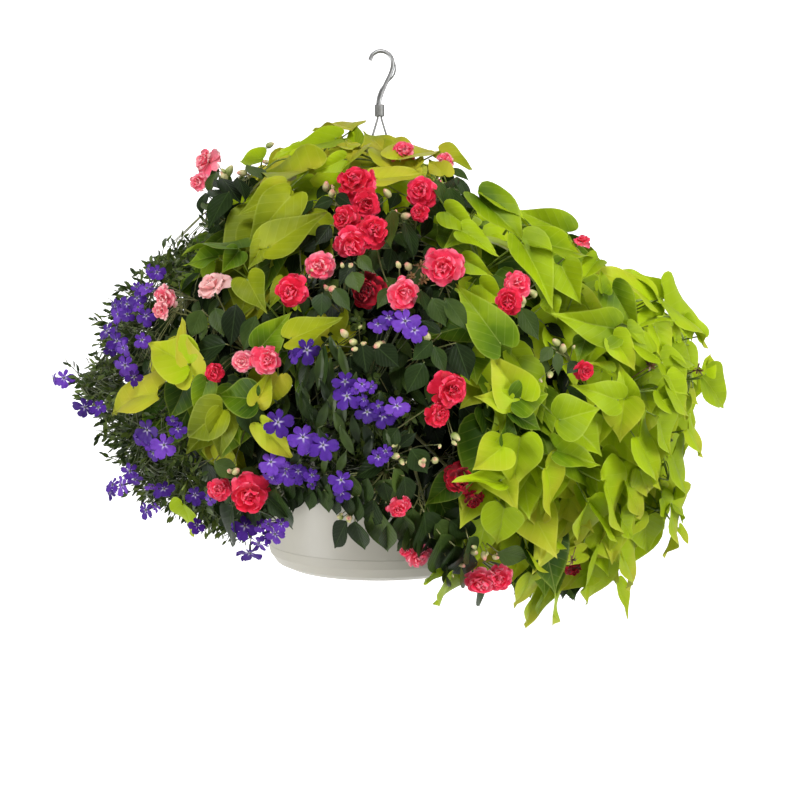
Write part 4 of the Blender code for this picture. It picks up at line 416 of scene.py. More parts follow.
def sight(px, py):
    """Direction from the eye through a picture point."""
    across = (px - PHOTO_CENTRE) / FOCAL_PX
    rise = (PHOTO_CENTRE - py) / FOCAL_PX
    forward = math.cos(PITCH) + rise * math.sin(PITCH)
    return np.array((across, forward, rise * math.cos(PITCH) - math.sin(PITCH)))


def place(px, py, depth):
    """The place at a depth behind (+) or before (-) the hanging axis."""
    ray = sight(px, py)
    return EYE + ray * ((depth - EYE[1]) / ray[1])


CANOPY_CENTRE = place(MIDDLE_PX[0], MIDDLE_PX[1], 0.0)


def front_depth(px, py):
    """Depth of the foliage's front surface at a picture point."""
    spot = place(px, py, 0.0) - CANOPY_CENTRE
    room = 1.0 - (spot[0] / CANOPY_AX) ** 2 - (spot[2] / CANOPY_AZ) ** 2
    return -CANOPY_AY * math.sqrt(max(room, 0.0))


def outward(spot):
    """Direction that faces out of the foliage at a place."""
    away = spot - CANOPY_CENTRE
    return unit(away / np.array((CANOPY_AX ** 2, CANOPY_AY ** 2, CANOPY_AZ ** 2)))


def clear_of_pot(spot, margin=0.0):
    """The place moved forward or back until it is outside the pot."""
    limit = POT_CLEAR + margin
    if spot[2] > RIM_Z + RIM_ROOM or math.hypot(spot[0], spot[1]) > limit or abs(spot[0]) > limit:
        return spot
    side = -1.0 if spot[1] <= 0.0 else 1.0
    return np.array((spot[0], side * math.sqrt(limit ** 2 - spot[0] ** 2), spot[2]))


def outline_reach(angle):
    """Picture distance from the foliage's middle to its outline, at an angle in the photo."""
    ahead = np.array((math.cos(angle), math.sin(angle)))
    middle = np.array(MIDDLE_PX)
    best = 0.0
    for start, end in zip(OUTLINE, OUTLINE[1:] + OUTLINE[:1]):
        edge = np.array(end, float) - start
        cross = ahead[0] * edge[1] - ahead[1] * edge[0]
        if abs(cross) < TINY:
            continue
        gap = np.array(start, float) - middle
        reach = (gap[0] * edge[1] - gap[1] * edge[0]) / cross
        share = (gap[0] * ahead[1] - gap[1] * ahead[0]) / cross
        if reach > best and 0.0 <= share <= 1.0:
            best = reach
    return best


REACHES = np.array([outline_reach(TURN * step / OUTLINE_STEPS) for step in range(OUTLINE_STEPS)])


def reach_at(angle):
    """The outline's reach, read between its known angles."""
    spot = (angle % TURN) / TURN * OUTLINE_STEPS
    low = int(spot) % OUTLINE_STEPS
    high = (low + 1) % OUTLINE_STEPS
    return REACHES[low] + (REACHES[high] - REACHES[low]) * (spot - int(spot))


def even_directions(count):
    """Directions spread evenly over a sphere."""
    found = []
    for step in range(count):
        rise = 1.0 - 2.0 * (step + 0.5) / count
        across = math.sqrt(1.0 - rise * rise)
        turn = step * GOLDEN_TURN
        found.append((across * math.cos(turn), across * math.sin(turn), rise))
    return found


def canopy_spot(ahead, share):
    """Picture point and place at a share of the way out to the foliage's surface."""
    across = math.hypot(ahead[0], ahead[2])
    angle = math.atan2(-ahead[2], ahead[0])
    reach = reach_at(angle) * across * share
    px = MIDDLE_PX[0] + reach * math.cos(angle)
    py = MIDDLE_PX[1] + reach * math.sin(angle)
    return px, py, place(px, py, ahead[1] * CANOPY_AY * share)


def eased(points, steps):
    """A smooth line through points."""
    points = [np.asarray(spot, float) for spot in points]
    if len(points) < 3:
        return [points[0] + (points[-1] - points[0]) * step / steps for step in range(steps + 1)]
    ends = [2.0 * points[0] - points[1]] + points + [2.0 * points[-1] - points[-2]]
    line = []
    per = max(2, round(steps / (len(points) - 1)))
    for here in range(1, len(points)):
        a, b, c, d = ends[here - 1:here + 3]
        for part in range(per):
            t = part / per
            line.append(0.5 * (2.0 * b + (c - a) * t + (2.0 * a - 5.0 * b + 4.0 * c - d) * t * t
                               + (3.0 * b - a - 3.0 * c + d) * t ** 3))
    line.append(points[-1])
    return line


HALF_STEPS = 60


class Piece:
    """The gathered faces of one piece, with the marks that its finishes read."""

    def __init__(self, name, nodes):
        self.name = name
        self.nodes = nodes
        self.points = []
        self.faces = []
        self.slots = []
        self.marks = {"along": [], "across": [], "edge": [], "tint": []}
        self.materials = []
        self.count = 0

    def add(self, points, faces, material, marks):
        """Take in a shape; its four marks are one value a point, or one for all."""
        if material not in self.materials:
            self.materials.append(material)
        self.points.append(points)
        self.faces.append(faces + self.count)
        self.slots.append(np.full(len(faces), self.materials.index(material), np.int32))
        for name, value in zip(self.marks, marks):
            self.marks[name].append(np.broadcast_to(np.asarray(value, np.float32), (len(points),)))
        self.count += len(points)

    def add_rings(self, points, columns, material, tint=PLAIN_TINT, caps=()):
        """Take in rings of points, joined all round, with any caps."""
        points = np.array(points)
        rows = len(points) // columns
        along = np.repeat(np.linspace(0.0, 1.0, rows), columns)
        faces = np.array(tube_faces(rows - 1, columns) + list(caps))
        self.add(points, faces, material, (along, 0.0, 0.0, tint))

    def build(self):
        """Make the object, ride it on the frame and let it stand for its nodes."""
        points = np.concatenate(self.points).astype(np.float32)
        faces = np.concatenate(self.faces).astype(np.int32)
        mesh = bpy.data.meshes.new(self.name)
        mesh.vertices.add(len(points))
        mesh.vertices.foreach_set("co", points.ravel())
        mesh.loops.add(faces.size)
        mesh.loops.foreach_set("vertex_index", faces.ravel())
        mesh.polygons.add(len(faces))
        mesh.polygons.foreach_set("loop_start", np.arange(0, faces.size, 3, dtype=np.int32))
        mesh.polygons.foreach_set("material_index", np.concatenate(self.slots))
        mesh.polygons.foreach_set("use_smooth", np.ones(len(faces), bool))
        for name, values in self.marks.items():
            mark = mesh.attributes.new(name, "FLOAT", "POINT")
            mark.data.foreach_set("value", np.concatenate(values).astype(np.float32))
        mesh.update(calc_edges=True)
        mesh.validate()
        for material in self.materials:
            mesh.materials.append(finishes[material])
        item = bpy.data.objects.new(self.name, mesh)
        bpy.context.scene.collection.objects.link(item)
        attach(item, "root")
        if self.nodes:
            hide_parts(*self.nodes)
        return item


def smooth_half(pairs):
    """A drawn half outline as many points along a smooth line."""
    return np.array(eased([(along, across, 0.0) for along, across in pairs], HALF_STEPS))


def half_outline(pairs, steps):
    """Evenly stepped points along a smooth half outline."""
    line = smooth_half(pairs)
    lengths = np.concatenate(([0.0], np.cumsum(np.linalg.norm(np.diff(line, axis=0), axis=1))))
    wanted = np.linspace(0.0, lengths[-1], steps)
    return np.stack([np.interp(wanted, lengths, line[:, axis]) for axis in (0, 1)], axis=1)


def fan_leaf(pairs, half_steps, rings):
    """A heart-shaped leaf drawn flat: rings of points about the stalk end."""
    half = half_outline(pairs, half_steps)
    edge = np.concatenate((half, half[-2:0:-1] * (1.0, -1.0)))
    count = len(edge)
    points = [np.zeros((1, 2))]
    shares = [np.zeros(1)]
    for ring in rings:
        points.append(edge * ring)
        shares.append(np.full(count, ring))
    faces = []
    for step in range(count):
        after = (step + 1) % count
        faces.append((0, 1 + step, 1 + after))
        for ring in range(len(rings) - 1):
            low = 1 + ring * count
            high = low + count
            faces.append((low + step, high + step, high + after))
            faces.append((low + step, high + after, low + after))
    return np.concatenate(points), np.array(faces), np.concatenate(shares)


def strap_leaf(pairs, rows, columns):
    """A leaf or petal drawn flat: rows across its midrib, closer together at the tip."""
    known = smooth_half(pairs)
    along = np.sin(np.linspace(0.0, 1.0, rows) * 0.5 * math.pi)
    half = np.interp(along, known[:, 0], known[:, 1]) * 0.5
    across = np.linspace(-1.0, 1.0, columns)
    points = np.array([(x, y * width) for x, width in zip(along, half) for y in across])
    shares = np.array([abs(y) for _ in along for y in across])
    faces = []
    for row in range(rows - 1):
        for column in range(columns - 1):
            a = row * columns + column
            b = a + columns
            faces.append((a, a + 1, b + 1))
            faces.append((a, b + 1, b))
    return points, np.array(faces), shares


FINE_HEART = fan_leaf(HEART, 18, (0.26, 0.52, 0.78, 1.0))
PLAIN_HEART = fan_leaf(HEART, 13, (0.36, 0.70, 1.0))
ROUGH_HEART = fan_leaf(HEART, 9, (0.5, 1.0))
FINE_OVATE = strap_leaf(OVATE, 13, 7)
PLAIN_OVATE = strap_leaf(OVATE, 9, 5)
ROUGH_OVATE = strap_leaf(OVATE, 6, 3)
SLIM_LEAF = strap_leaf(LONG_LEAF, 11, 5)
TINY_LANCE = strap_leaf(LANCE, 5, 3)
BLOOM_PETAL = strap_leaf(ROUND_PETAL, 7, 7)
FLOWER_PETAL = strap_leaf(LOBE_PETAL, 6, 5)


def tube_faces(rows, columns):
    """Faces between rings of points: so many rows of faces, each once round."""
    faces = []
    for row in range(rows):
        for column in range(columns):
            a = row * columns + column
            b = row * columns + (column + 1) % columns
            faces.append((a, b, b + columns))
            faces.append((a, b + columns, a + columns))
    return faces


def leaf_axes(base, tip, normal):
    """Length of a leaf and its three directions: ahead, sideways and up."""
    reach = tip - base
    length = float(np.linalg.norm(reach))
    ahead = reach / length
    side = unit(np.cross(normal, ahead))
    return length, ahead, side, np.cross(ahead, side)


# A leaf's bend: how far its fold eases towards the edge, its least width over its length, its
# droop to the sides, and the waves along its edge and over its face
FOLD_EASE = 0.9
SLIMMEST = 0.1
SIDE_DROOP = 0.5
EDGE_WAVES = 8.0
EDGE_SHIFT = 1.7
FACE_WAVE = 0.8
FACE_WAVES = (3.5, 5.0)

# A petal's notch at its tip and the ruffles across it and along its rim
PETAL_NOTCH = 0.08
RUFFLE_WAVES = 5.0
RIM_RUFFLE = 0.5
RIM_WAVES = 8.0

# A bud's rows and columns of points, and how much it narrows to its tip
BUD_ROWS = 6
BUD_COLUMNS = 8
BUD_TAPER = 0.32


def add_blade(piece, shape, base, axes, bent, material, tint):
    """Add a leaf or petal whose bent points are given along its own axes, in lengths."""
    length, ahead, side, over = axes
    x, y, z = bent
    points = base + length * (x[:, None] * ahead + y[:, None] * side + z[:, None] * over)
    piece.add(points, shape[1], material, (shape[0][:, 0], shape[0][:, 1], shape[2], tint))


def lay_leaf(piece, shape, base, tip, normal, width, bend, material, tint, rng):
    """Add one bent leaf; the bend gives its fold, droop, edge waves and twist."""
    flat, _, shares = shape
    fold, droop, wave, twist = bend
    axes = leaf_axes(base, tip, normal)
    length = axes[0]
    x = flat[:, 0]
    y = flat[:, 1] * width / length
    phase = rng.uniform(0.0, TURN)
    z = fold * np.abs(y) - FOLD_EASE * fold * y * y / max(width / length, SLIMMEST)
    z = z - droop * x * x - SIDE_DROOP * droop * y * y
    z = z + wave * np.sin(phase + EDGE_WAVES * x + np.sign(y) * EDGE_SHIFT) * shares ** 2
    z = z + wave * FACE_WAVE * np.sin(2.0 * phase + FACE_WAVES[0] * x + FACE_WAVES[1] * y)
    turn = twist * x
    y, z = y * np.cos(turn) - z * np.sin(turn), y * np.sin(turn) + z * np.cos(turn)
    add_blade(piece, shape, base, axes, (x, y, z), material, tint)


def lay_petal(piece, shape, base, tip, normal, width, bend, material, tint, rng):
    """Add one petal; the bend gives its cup, its curl towards the normal and its ruffle."""
    flat, _, shares = shape
    cup, curl, ruffle = bend
    axes = leaf_axes(base, tip, normal)
    x = flat[:, 0]
    lane = shares * np.sign(flat[:, 1])
    y = flat[:, 1] * width / axes[0]
    phase = rng.uniform(0.0, TURN)
    notch = PETAL_NOTCH * (1.0 - shares) ** 2 * x ** 8
    z = cup * y * y + curl * x * x + ruffle * x ** 3 * np.sin(phase + RUFFLE_WAVES * lane)
    z = z + ruffle * RIM_RUFFLE * shares ** 2 * np.sin(2.0 * phase + RIM_WAVES * x)
    add_blade(piece, shape, base, axes, (x - notch, y, z), material, tint)


def lay_stalk(piece, line, start, end, sides, material):
    """Add a tapered round stalk along a line."""
    line = np.array(line)
    ahead = np.gradient(line, axis=0)
    ahead = ahead / np.maximum(np.linalg.norm(ahead, axis=1)[:, None], TINY)
    side = unit(np.cross(ahead[0], cross_guide(ahead[0])))
    turns = TURN * np.arange(sides) / sides
    rings = []
    for spot, step, share in zip(line, ahead, np.linspace(0.0, 1.0, len(line))):
        side = unit(side - step * float(side @ step))
        over = np.cross(step, side)
        radius = start + (end - start) * share
        rings.append(spot + radius * (np.cos(turns)[:, None] * side + np.sin(turns)[:, None] * over))
    last = (len(line) - 1) * sides
    caps = []
    for step in range(1, sides - 1):
        caps += [(0, step + 1, step), (last, last + step, last + step + 1)]
    piece.add_rings(np.concatenate(rings), sides, material, caps=caps)


def lay_ball(piece, spot, ahead, radius, stretch, material, tint):
    """Add a bud: a round body drawn out along its axis."""
    side = unit(np.cross(ahead, cross_guide(ahead)))
    over = np.cross(ahead, side)
    points = []
    for row in range(BUD_ROWS + 1):
        angle = math.pi * row / BUD_ROWS
        rise = -math.cos(angle) * stretch
        swell = math.sin(angle) * (1.0 - BUD_TAPER * rise / stretch)
        for column in range(BUD_COLUMNS):
            turn = TURN * column / BUD_COLUMNS
            aside = math.cos(turn) * side + math.sin(turn) * over
            points.append(spot + radius * (ahead * rise + swell * aside))
    piece.add_rings(points, BUD_COLUMNS, material, tint)


def lay_wall(piece, profile, columns, material, wobble=None):
    """Add a turned shape: a profile of (radius, height) spun about the hanging axis."""
    points = []
    for radius, height in profile:
        for column in range(columns):
            turn = TURN * column / columns
            lift = wobble(radius, turn) if wobble else 0.0
            points.append((radius * math.cos(turn), radius * math.sin(turn), height + lift))
    piece.add_rings(points, columns, material)


# Plants: each holds the piece that it grows into and the points where stalks may leave its stems

ROOT_DEPTH = 0.012
STEM_RISE = 0.030
TRUNK_END = 0.85
BRANCH_END = 0.35
STEM_SIDES = 6
STEM_STEPS = 5

# How a low stem crosses the rim: up to which height it needs to, and how far out from the rim and
# above it the stem passes, first inside and then outside
LOW_GOAL = 0.05
INSIDE_RIM = (0.010, 0.026)
OUTSIDE_RIM = (0.014, 0.018)


class Plant:
    """One rooted plant, with the stems that carry its leaves."""

    def __init__(self, name, row, looks):
        self.name = name
        self.leaf_slot, self.stem_finish, self.thick = looks
        self.piece = Piece(f"{name}_plant", [name])
        self.carriers = []
        self.grow_stems(row)

    def grow_stems(self, row):
        """The trunk out of the compost and its branches."""
        hole, trunk, branches = row
        line = [np.array((*hole, SOIL_Z - ROOT_DEPTH)), np.array((*hole, SOIL_Z + STEM_RISE))]
        outer = [stem_place(*spot) for spot in trunk]
        line += over_rim(outer[0]) + outer
        self.lay(line, self.thick, self.thick * TRUNK_END)
        for branch in branches:
            reach = [line[-1]] + [stem_place(*spot) for spot in branch]
            self.lay(reach, self.thick * TRUNK_END, self.thick * BRANCH_END)

    def lay(self, points, start, end):
        """One smooth stem, kept as places for stalks."""
        line = eased(points, STEM_STEPS * len(points))
        lay_stalk(self.piece, line, start, end, STEM_SIDES, self.stem_finish)
        self.carriers += line


def stem_place(px, py, share):
    """A stem point from its picture point and its share of the way out to the front."""
    return clear_of_pot(place(px, py, front_depth(px, py) * share))


def over_rim(goal):
    """Points that carry a low stem over the rim on its way to the goal."""
    if goal[2] > RIM_Z + LOW_GOAL:
        return []
    turn = math.atan2(goal[1], goal[0])
    ring = np.array((math.cos(turn), math.sin(turn), 0.0))
    inside = ring * (RIM_RADIUS - INSIDE_RIM[0]) + UP * (RIM_Z + INSIDE_RIM[1])
    return [inside, ring * (RIM_RADIUS + OUTSIDE_RIM[0]) + UP * (RIM_Z + OUTSIDE_RIM[1])]


def grow_plants(rows, looks):
    """Every plant of a kind, with its stems."""
    return [Plant(name, row, looks) for name, row in rows.items()]


class Bed:
    """All plants of a kind, and the nearest stem to any place."""

    def __init__(self, plants):
        self.plants = plants
        self.spots = np.array([spot for plant in plants for spot in plant.carriers])
        self.owners = [plant for plant in plants for _ in plant.carriers]

    def nearest(self, spot):
        """The plant and the stem point that a stalk at this place grows from."""
        gaps = np.linalg.norm(self.spots - spot, axis=1)
        best = int(np.argmin(gaps))
        return self.owners[best], self.spots[best]


# Stalks: radius, finish, sides and rows
LIME_STALK = (0.0010, "lime_stem", 5, 6)
IMPATIENS_STALK = (0.0008, "impatiens_stem", 5, 5)
LONG_LEAF_STALK = (0.0006, "lobelia_stem", 4, 5)
LIME_FILLER_STALK = (0.0009, "lime_stem", 3, 4)
IMPATIENS_FILLER_STALK = (0.0007, "impatiens_stem", 3, 4)
BLOOM_STALK = (0.0009, "impatiens_stem", 5, 7)
FLOWER_STALK = (0.0006, "lobelia_stem", 4, 6)
BUD_STALK = (0.0006, "impatiens_stem", 4, 5)
HUSK_STALK = (0.0007, "dry_husk", 4, 5)
STALK_ARCH = 0.18
STALK_TAPER = (1.15, 0.85)


def lay_petiole(piece, start, end, arrive, stalk):
    """A stalk that leaves a stem and rises into its leaf or bloom."""
    radius, finish, sides, rows = stalk
    middle = (start + end) * 0.5 + arrive * (STALK_ARCH * gap_between(start, end))
    line = eased((start, middle, end), rows)
    lay_stalk(piece, line, radius * STALK_TAPER[0], radius * STALK_TAPER[1], sides, finish)


def picture_point(spot):
    """Where a place shows in the photo."""
    ray = spot - EYE
    forward = ray[1] * math.cos(PITCH) - ray[2] * math.sin(PITCH)
    rise = ray[1] * math.sin(PITCH) + ray[2] * math.cos(PITCH)
    return PHOTO_CENTRE + FOCAL_PX * ray[0] / forward, PHOTO_CENTRE - FOCAL_PX * rise / forward


def is_inside(spot, margin):
    """Whether a place shows inside the foliage's outline."""
    px, py = picture_point(spot)
    across = px - MIDDLE_PX[0]
    down = py - MIDDLE_PX[1]
    return math.hypot(across, down) < reach_at(math.atan2(down, across)) - margin


def turned(vector, axis, angle):
    """A direction turned about an axis."""
    return (vector * math.cos(angle) + np.cross(axis, vector) * math.sin(angle)
            + axis * float(axis @ vector) * (1.0 - math.cos(angle)))


# Listed leaves: least length over width, steepest slant, flattest view and lean to the sky
LEAST_LENGTH = 1.02
STEEPEST = 0.55
FLATTEST = 0.12
SKYWARD = 0.5


def leaf_middle(row):
    """Picture point of a listed leaf's middle."""
    return (row[0] + row[2]) / 2.0, (row[1] + row[3]) / 2.0


def leaf_ends(row):
    """Stalk end and tip of a listed leaf."""
    base_x, base_y, tip_x, tip_y, span = row[:5]
    share = row[5] if len(row) > 5 else 1.0
    length = math.hypot(tip_x - base_x, tip_y - base_y)
    full = max(length, span * LEAST_LENGTH)
    extra = math.sqrt(full * full - length * length) * PX
    base_depth = front_depth(base_x, base_y) * share
    tip_depth = front_depth(tip_x, tip_y) * share
    middle = (base_depth + tip_depth) / 2.0
    limit = full * PX * STEEPEST
    base_depth = middle + max(-limit, min(limit, base_depth - middle))
    tip_depth = middle + max(-limit, min(limit, tip_depth - middle)) - extra
    return place(base_x, base_y, base_depth), place(tip_x, tip_y, tip_depth)


def blade_normal(base, tip, width, span):
    """Normal that shows the blade as wide as the photo does, leaning out of the foliage."""
    spot = (base + tip) / 2.0
    ahead = unit(tip - base)
    to_eye = unit(EYE - spot)
    face_on = unit(to_eye - ahead * float(to_eye @ ahead))
    lean = math.acos(max(FLATTEST, min(1.0, span / width)))
    wanted = unit(outward(spot) + UP * SKYWARD)
    options = [turned(face_on, ahead, sign * lean) for sign in (-1.0, 1.0)]
    return max(options, key=lambda option: float(option @ wanted))


LISTED_LIFT = 0.010
HEAD_LIFT = 0.015

# Bends of each kind of leaf: fold, droop, edge waves and twist, as ranges or fixed
LIME_BEND = ((0.35, 0.85), (0.04, 0.22), (0.022, 0.050), (-0.22, 0.22))
IMPATIENS_BEND = ((0.10, 0.40), (0.05, 0.20), (0.004, 0.012), (-0.2, 0.2))
LONG_LEAF_BEND = ((0.3, 0.8), (0.15, 0.40), 0.012, (-0.5, 0.5))
LIME_FILLER_BEND = ((0.15, 0.55), (0.05, 0.28), (0.012, 0.038), (-0.3, 0.3))
IMPATIENS_FILLER_BEND = ((0.15, 0.50), (0.08, 0.30), 0.010, (-0.3, 0.3))
LANCE_BEND = (0.2, (0.1, 0.35), 0.0, 0.0)
HUSK_BEND = (0.4, (-0.4, 0.6), 0.0, (-0.8, 0.8))

# How the listed leaves of each kind are made: shape, least width over length, bend, finish
# and stalk
LISTED_LOOKS = {
    "lime": (FINE_HEART, 0.62, LIME_BEND, "lime_leaf", LIME_STALK),
    "dark": (FINE_OVATE, 0.55, IMPATIENS_BEND, "impatiens_leaf", IMPATIENS_STALK),
}
STALK_OUT = 0.6
STALK_BACK = 0.4

# Leaves that close the mass along its outline
LIME_EDGE_LEAVES = (
    (354, 153, 352, 119, 24), (388, 158, 363, 127, 30), (402, 150, 382, 133, 20),
    (444, 176, 428, 156, 20), (414, 170, 422, 150, 16), (608, 560, 620, 584, 20),
    (684, 318, 694, 344, 15), (662, 498, 671, 522, 16), (612, 338, 640, 372, 26),
)
IMPATIENS_EDGE_LEAVES = (
    (262, 180, 247, 161, 15), (222, 200, 209, 184, 15), (216, 214, 202, 198, 13),
    (226, 190, 214, 176, 12), (450, 190, 456, 174, 12), (383, 258, 372, 286, 20, 0.72),
)

# Where the vine is not its usual fresh green: picture point, reach and tone. The first row that
# reaches a leaf counts; tones run from dark green over fresh lime, yellow and ochre to olive. Yellow
# and ochre are the leaves' own colour; the dark green tones are painted shade on leaves in shadow,
# and the olive tones are partly the leaves' own colour and partly painted shade
FRESH = 0.42
TONE_SPREAD = (-0.11, 0.08)
LIME_TONES_AND_SHADE = (
    (352, 125, 14, 0.36), (168, 350, 16, 0.58), (500, 215, 22, 0.34), (540, 273, 14, 0.30),
    (575, 345, 16, 0.12), (540, 380, 20, 0.14), (540, 538, 20, 0.12), (130, 400, 34, 0.70),
    (275, 440, 24, 0.68), (165, 352, 30, 0.46), (187, 345, 18, 0.84), (176, 405, 20, 0.04),
    (204, 400, 14, 0.22), (203, 432, 26, 0.88), (236, 396, 22, 0.10), (268, 384, 18, 0.84),
    (246, 420, 22, 0.02), (303, 390, 20, 0.02), (206, 250, 34, 0.18), (232, 262, 24, 0.88),
    (222, 285, 26, 0.10), (258, 294, 24, 0.88), (250, 330, 24, 0.04), (277, 330, 18, 0.20),
    (316, 326, 24, 0.88), (268, 222, 30, 0.94), (300, 232, 30, 0.97), (280, 168, 30, 0.76),
    (345, 140, 30, 0.74), (400, 150, 34, 0.74), (452, 162, 26, 0.76), (430, 490, 26, 0.02),
    (330, 215, 24, 0.14), (187, 520, 22, 0.50), (545, 560, 40, 0.50), (485, 340, 26, 0.14),
    (462, 225, 24, 0.28), (515, 232, 30, 0.20), (550, 245, 30, 0.20), (580, 415, 24, 0.28),
    (585, 268, 24, 0.32), (500, 262, 20, 0.14), (440, 235, 20, 0.10), (470, 270, 18, 0.22),
    (622, 425, 20, 0.44), (577, 440, 20, 0.30), (230, 400, 76, 0.04), (225, 300, 56, 0.10),
    (300, 340, 50, 0.06), (500, 425, 24, 0.10), (540, 418, 22, 0.16), (580, 500, 40, 0.48),
    (535, 500, 30, 0.48), (477, 312, 18, 0.20), (584, 322, 16, 0.24), (630, 330, 20, 0.30),
    (533, 397, 12, 0.26),
)

# Hollows among the leaves, set deeper and filled with dark leaves of the darkest tint as painted
# shade: picture point and reach
HOLLOWS = (
    (447, 428, 26), (440, 454, 28), (462, 450, 16), (425, 478, 18), (370, 300, 16), (385, 330, 12),
    (452, 408, 16), (548, 352, 18), (330, 300, 14), (395, 430, 14), (480, 392, 10), (235, 325, 20),
    (270, 318, 16), (146, 374, 18), (212, 462, 18), (250, 455, 22), (345, 492, 24), (310, 492, 18),
)


def lime_tone_and_shade(px, py, rng):
    """How yellow a lime leaf is and how much painted shade darkens it, after the first listed tone that
    reaches it.
    """
    tone = FRESH
    for spot_x, spot_y, reach, known in LIME_TONES_AND_SHADE:
        if math.hypot(px - spot_x, py - spot_y) < reach:
            tone = known
            break
    return min(1.0, max(0.0, tone + rng.uniform(*TONE_SPREAD)))


def in_hollow(px, py):
    """Whether a picture point lies in a hollow that dark leaves fill as painted shade."""
    return any(math.hypot(px - x, py - y) < reach for x, y, reach in HOLLOWS)


def lifted(spots, lift):
    """Places moved towards the eye."""
    return [spot + unit(EYE - spot) * lift for spot in spots]


def grow_listed_leaves(bed, rows, kind, rng):
    """The leaves of a kind that the photo shows one by one."""
    shape, least, ranges, finish, stalk = LISTED_LOOKS[kind]
    for row in rows:
        base, tip = lifted(leaf_ends(row), LISTED_LIFT)
        span = row[4] * PX
        width = max(span, least * gap_between(base, tip))
        normal = blade_normal(base, tip, width, span)
        bend = drawn(ranges, rng)
        plant, stem = bed.nearest(base)
        tint = lime_tone_and_shade(*leaf_middle(row), rng) if kind == "lime" else rng.random()
        lay_leaf(plant.piece, shape, base, tip, normal, width, bend, finish, tint, rng)
        lay_petiole(plant.piece, stem, base, outward(base) * STALK_OUT - normal * STALK_BACK, stalk)


def grow_long_leaves(bed, rng):
    """The long glossy leaves that arch down in the middle of the front."""
    for row in LONG_LEAVES:
        base, tip = lifted(leaf_ends(row), LISTED_LIFT)
        normal = unit(unit(EYE - base) + outward(base) * 0.6 + np.array((rng.uniform(-0.6, 0.6), 0.0, 0.3)))
        bend = drawn(LONG_LEAF_BEND, rng)
        plant, stem = bed.nearest(base)
        lay_leaf(plant.piece, SLIM_LEAF, base, tip, normal, row[4] * PX * 0.9, bend, "lobelia_leaf",
                 rng.uniform(-0.3, 0.6), rng)
        lay_petiole(plant.piece, stem, base, outward(base) * 0.5, LONG_LEAF_STALK)


def kind_map():
    """Picture points of what grows where, as arrays."""
    lime = [leaf_middle(row) for row in LIME_LEAVES]
    dark = [leaf_middle(row) for row in IMPATIENS_LEAVES]
    dark += [head[:2] for heads in BLOOMS.values() for head in heads]
    thin = list(SHOOT_TIPS)
    thin += [head[:2] for heads in VIOLETS.values() for head in heads]
    return {"lime": np.array(lime, float), "dark": np.array(dark, float), "thin": np.array(thin, float)}


KIND_MAP = kind_map()

# How far the kinds mix, in picture steps, and where the vine holds back, and by how much
KIND_MIX = 9.0
THIN_VINE_PX = (310.0, 270.0)
THIN_VINE_GAP = 12.0


def kind_at(px, py, rng):
    """Which plant shows at a picture point; the vine is thin on the left."""
    best = None
    for kind, spots in KIND_MAP.items():
        gap = float(np.min(np.hypot(spots[:, 0] - px, spots[:, 1] - py))) + rng.uniform(0.0, KIND_MIX)
        if kind == "lime" and px < THIN_VINE_PX[0] and py > THIN_VINE_PX[1]:
            gap += THIN_VINE_GAP
        if best is None or gap < best[0]:
            best = (gap, kind)
    return best[1]


def hanging(normal, lean, rng):
    """A leaf's direction across its normal: mostly down, swung to one side."""
    sway = np.array((rng.uniform(-1.0, 1.0), rng.uniform(-1.0, 1.0), 0.0))
    wanted = -UP + sway * lean
    return unit(wanted - normal * float(normal @ wanted))


# The way a filler leaf faces: how much outward, up and to the front or back, and its disorder
FACE_OUT = 0.70
FACE_UP = 0.35
FACE_FRONT = 1.05
FRONT_BLUR = 0.35
DISORDER = 0.26


def filler_normal(out, rng):
    """The way a leaf of the mass faces: outward, up, and to the front or the back."""
    side_on = 1.0 - abs(out[1])
    front = -1.0 if out[1] < FRONT_BLUR * rng.uniform(-1.0, 1.0) else 1.0
    wild = scatter(DISORDER, rng)
    return unit(out * FACE_OUT + UP * FACE_UP + np.array((0.0, front * FACE_FRONT * side_on, 0.0)) + wild)


# The leaves of the mass: their lengths, margins to the outline and leans by kind
FILLER_LENGTHS = {"lime": (0.042, 0.070), "dark": (0.020, 0.034), "thin": (0.024, 0.044)}
EDGE_MARGIN = {"lime": 13.0, "dark": 5.0, "thin": 2.0}
FILLER_LEAN = {"lime": 0.9, "dark": 0.6, "thin": 0.6}

# How a leaf of the mass finds its spot: its gap to the pot, how often and how far it steps in, how
# often deep lobelia gives way to dark leaves and how deep a hollow lies
POT_GAP = 0.012
SPOT_TRIES = 5
STEP_IN = 0.94
THIN_GIVES_WAY = 0.75
HOLLOW_SHARE = 0.80

# How much a deep lime leaf is darkened towards green as painted shade, the widths over the lengths,
# how much longer and wider a deep dark leaf is, and how far the second shoot of a pair swings aside
SHADE_LOSS = 0.26
LIME_WIDTHS = (0.78, 0.96)
IMPATIENS_WIDTHS = (0.52, 0.66)
DEEP_GROWTH = (1.15, 1.25)
TWIN_SWING = 0.007


def filler_spot(ahead, share, small, deep, rng):
    """Kind, stalk end, tip and normal of a leaf of the mass, kept inside the outline."""
    for _ in range(SPOT_TRIES):
        px, py, base = canopy_spot(ahead, share)
        if base[2] < RIM_Z + RIM_ROOM and math.hypot(base[0], base[1]) < POT_CLEAR + POT_GAP:
            return None
        kind = kind_at(px, py, rng)
        gives_way = deep and kind == "thin" and rng.random() < THIN_GIVES_WAY
        # In a hollow on the front, dark leaves are put as painted shade
        if gives_way or (in_hollow(px, py) and ahead[1] < 0.0):
            kind = "dark"
        out = outward(base)
        normal = filler_normal(out, rng)
        way = hanging(normal, FILLER_LEAN[kind], rng)
        if kind == "thin":
            way = unit(out + way * 0.5 + UP * rng.uniform(-0.1, 0.5))
        tip = base + way * (rng.uniform(*FILLER_LENGTHS[kind]) * small)
        margin = EDGE_MARGIN[kind]
        if is_inside(tip, margin) and is_inside(base, margin):
            return kind, (px, py), base, tip, normal
        share *= STEP_IN
    return None


